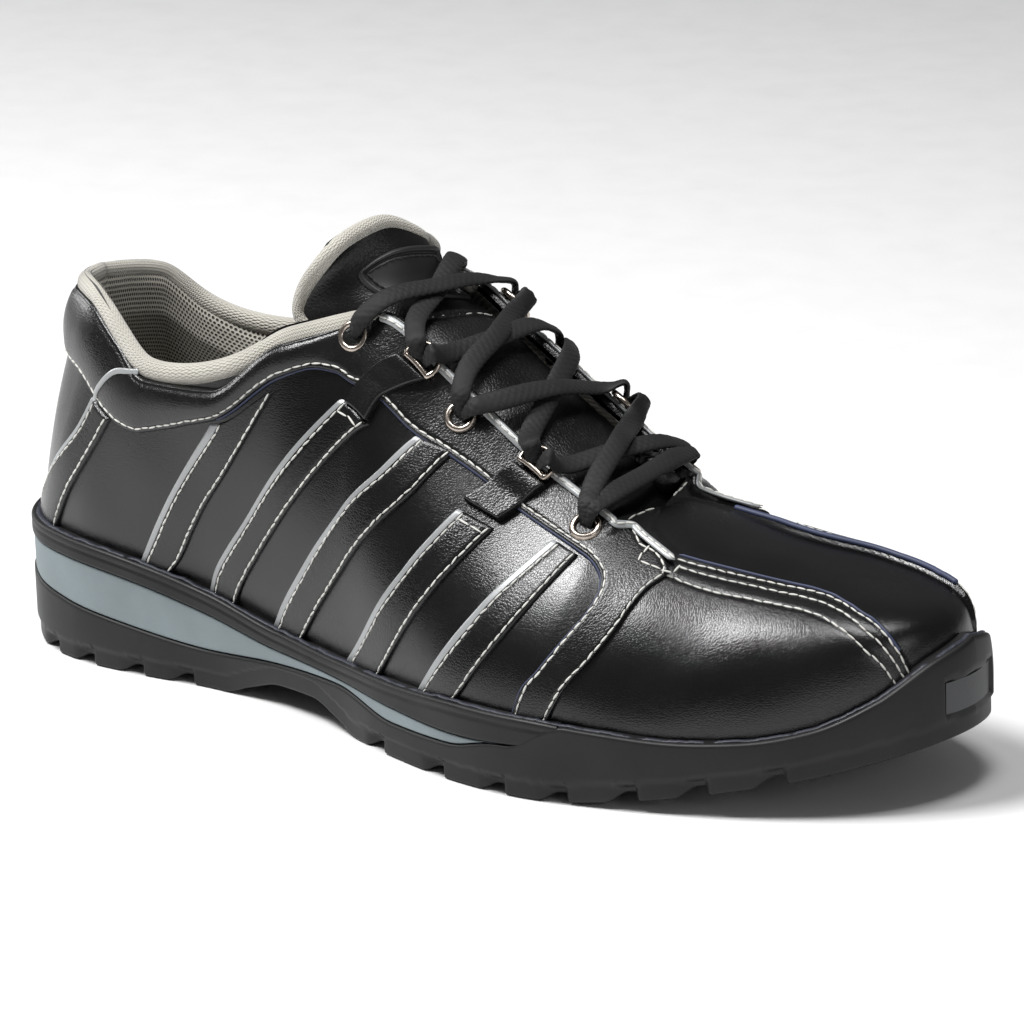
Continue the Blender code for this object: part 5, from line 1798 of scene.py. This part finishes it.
    def cushion(self) -> bpy.types.Object:
        """The grey wedge between the rim and the outsole."""
        def profile(side: np.ndarray, row: np.ndarray, v: np.ndarray) -> tuple[np.ndarray, np.ndarray]:
            """Slightly fuller in the middle."""
            top = SOLE.height("rim_foot", row) - GAP / 2
            foot = np.minimum(self.layers(row)[1] + GAP / 2, top - 0.0001)
            inset, height = self.wall(v, foot, top, 0.003, 0.003, 0.0004, 0.0004)
            return inset + 0.0005, height

        return self.sweep("cushion_band", SOLE.row_at(WEDGE_END), 640, 28, profile)

    def outsole(self) -> bpy.types.Object:
        """Lugged outsole and toe bumper."""
        rim = SOLE.row_at(RIM_END)

        def profile(side: np.ndarray, row: np.ndarray, v: np.ndarray) -> tuple[np.ndarray, np.ndarray]:
            """Lugs below, and above them the wall that meets cushion, rim or upper."""
            tread = SOLE.tread_height(SOLE.edge(Side.LATERAL, row)[0][:, 0])
            groove = self.groove(row)
            top = self.layers(row)[0] - GAP / 2 * (row < rim)
            inset, height = self.wall(v, tread + groove * GROOVE_DEPTH, top, 0.010, 0.0030, 0.0010, 0.0008)
            deep = smooth_step(0.0050, 0.0036, height - tread)
            step = 0.0007 * smooth_step(0.0056, 0.0052, height - tread)
            lean = np.minimum(0.0018, 0.08 * np.maximum(top - SOLE.height("floor", row), 0) + 0.0006)
            lean = lean * smooth_step(rim + 0.1, rim + 1.2, row) - 0.0003 * smooth_step(rim - 0.8, rim, row)
            inset = inset + step + groove * deep * 0.0015 + lean * smooth_step(0.5, 1.0, v)
            field_part = self.field(side, row, height, 0.0008)
            return inset + RECESS_DEPTH * field_part, height

        return self.sweep("lugged_outsole", None, 1500, 34, profile)

    @staticmethod
    def field(side: np.ndarray, row: np.ndarray, height: np.ndarray, soft: float) -> np.ndarray:
        """1 inside the shallow field on the bumper's front."""
        low, high = RECESS.low * INSTEP, RECESS.high * INSTEP
        half = soft / 2
        tall = smooth_step(low - half, low + half, height) * smooth_step(high + half, high - half, height)
        start = np.where(side < 0, RECESS.lateral_row, RECESS.medial_row)
        return tall * smooth_step(0.0, 0.05, row - start)

    def toe_field(self) -> bpy.types.Object:
        """The lighter face of the toe field."""
        def mapping(u: np.ndarray, v: np.ndarray) -> np.ndarray:
            """From the outer end round the toe to the inner end."""
            outer = SOLE.last - RECESS.lateral_row - 0.07
            inner = SOLE.last - RECESS.medial_row - 0.07
            away = u * (outer + inner) - outer
            points = np.empty((len(u), 3))
            for side, chosen in ((Side.LATERAL, away <= 0), (Side.MEDIAL, away > 0)):
                row = SOLE.last - np.abs(away[chosen])
                points[chosen, :2] = SOLE.edge(side, row, RECESS_DEPTH - 0.00025)[0]
            low, high = RECESS.low * INSTEP + 0.0007, RECESS.high * INSTEP - 0.0007
            points[:, 2] = low + v * (high - low)
            return points - MIDDLE

        return laid_grid("toe_field_face", 160, 12, mapping, (0.09, 0.01), False)

    def tread(self) -> bpy.types.Object:
        """The underside."""
        def mapping(u: np.ndarray, v: np.ndarray) -> np.ndarray:
            """From the outer edge to the inner edge, inside the walls' own strip of underside."""
            row = 0.05 + u * (SOLE.last - 0.1)
            ends = [SOLE.edge(side, row, 0.0080)[0] for side in Side]
            plan = ends[0] * (1 - v)[:, None] + ends[1] * v[:, None]
            tread = SOLE.tread_height(SOLE.edge(Side.LATERAL, row)[0][:, 0])
            high = tread + self.groove(row) * GROOVE_DEPTH
            return np.concatenate([plan, high[:, None]], 1) - MIDDLE

        return laid_grid("tread_face", 900, 16, mapping, (0.3, 0.1), True)

    def build(self) -> list[Seam]:
        """Makes the sole's pieces."""
        rubber = self.palette.get(RUBBER)
        dress(self.rim(), rubber, Slot.RUBBER, "midsole_rim")
        dress(self.feather(), self.palette.get(GLUE), Slot.RUBBER)
        dress(self.cushion(), self.palette.get(CUSHION), Slot.CUSHION, "cushion_wedge")
        dress(joined("outsole_body", [self.outsole(), self.tread()]), rubber, Slot.RUBBER, "outsole")
        dress(self.toe_field(), self.palette.get(TOE_FIELD), Slot.RUBBER)
        return []


@dataclass(frozen=True)
class Lamp:
    """A soft area light aimed at the shoe."""

    name: str
    place: tuple[float, float, float]
    size: float
    power: float
    aim: tuple[float, float, float] = (0.0, 0.0, 0.04)

    def add(self) -> None:
        """Puts the light in the scene."""
        light = bpy.data.lights.new(self.name, "AREA")
        light.shape, light.size, light.energy = "SQUARE", self.size, self.power
        holder = in_scene(self.name, light)
        holder.location = self.place
        ahead = Vector(self.aim) - Vector(self.place)
        holder.rotation_euler = ahead.to_track_quat("-Z", "Y").to_euler()


@dataclass
class Studio:
    """Floor, lights, air and the camera at the photograph's own angle."""

    palette: Palette
    target: tuple[float, float, float] = (0.00186, 0.01547, 0.0503)
    azimuth: float = 36.2
    elevation: float = 18.2
    roll: float = -2.0
    distance: float = 1.5
    lens: float = 195.96
    air: float = 0.13
    lamps: tuple[Lamp, ...] = (
        Lamp("key", (-0.36, -0.34, 1.05), 0.38, 15.5),
        Lamp("overhead", (0.24, -0.10, 1.25), 0.36, 6.5),
        Lamp("left_window", (-1.25, 0.05, 0.50), 0.42, 5.0),
        Lamp("right_fill", (1.25, -0.45, 0.50), 0.5, 1.6),
    )

    def floor(self) -> None:
        """A plain pale floor."""
        work = bmesh.new()
        bmesh.ops.create_grid(work, x_segments=1, y_segments=1, size=6.0)
        mesh = mesh_of("studio_floor", work)
        plane = in_scene("studio_floor", mesh)
        mesh.materials.append(self.palette.get(FLOOR))

    def camera(self) -> None:
        """The camera that gives the photograph's view."""
        turn, lift, roll = (math.radians(angle) for angle in (self.azimuth, self.elevation, self.roll))
        back = Vector((math.sin(turn) * math.cos(lift), -math.cos(turn) * math.cos(lift), math.sin(lift)))
        right = Vector((math.cos(turn), math.sin(turn), 0.0))
        up = back.cross(right)
        across = right * math.cos(roll) + up * math.sin(roll)
        upright = up * math.cos(roll) - right * math.sin(roll)
        data = bpy.data.cameras.new("photo_camera")
        data.sensor_width, data.lens = 36.0, self.lens
        camera = in_scene("photo_camera", data)
        frame = Matrix((across, upright, back)).transposed().to_4x4()
        frame.translation = Vector(self.target) + back * self.distance
        camera.matrix_world = frame
        bpy.context.scene.camera = camera

    def build(self) -> None:
        """Sets the studio."""
        self.floor()
        for lamp in self.lamps:
            lamp.add()
        world = bpy.data.worlds.new("studio_air")
        world.use_nodes = True
        glow = world.node_tree.nodes["Background"]
        glow.inputs["Color"].default_value = (1.0, 1.0, 1.0, 1.0)
        glow.inputs["Strength"].default_value = self.air
        bpy.context.scene.world = world
        bpy.context.scene.view_settings.view_transform = "Standard"
        self.camera()


@dataclass
class Shoe:
    """The whole shoe: its pieces in the order they are made."""

    palette: Palette

    def build(self) -> None:
        """Makes every piece, then sews all white seams as one."""
        parts = [UpperSkin, SideStrips, TopPanel, ThroatBinding, Collar, Tongue, Hardware, Lacing, SoleUnit]
        seams: list[Seam] = []
        for kind in parts:
            seams += kind(self.palette).build()
        dress(sewn("white_stitches", seams, Thread()), self.palette.get(THREAD), Slot.CORD)


def main() -> None:
    """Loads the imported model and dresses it."""
    logging.basicConfig(level=logging.INFO, format="%(name)s: %(message)s")
    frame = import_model()
    palette = Palette()
    insole = frame["nodes"]["insole"]
    insole.data.materials.clear()
    insole.data.materials.append(palette.get(FOOTBED))
    Shoe(palette).build()
    Studio(palette).build()


if __name__ == "__main__":
    main()
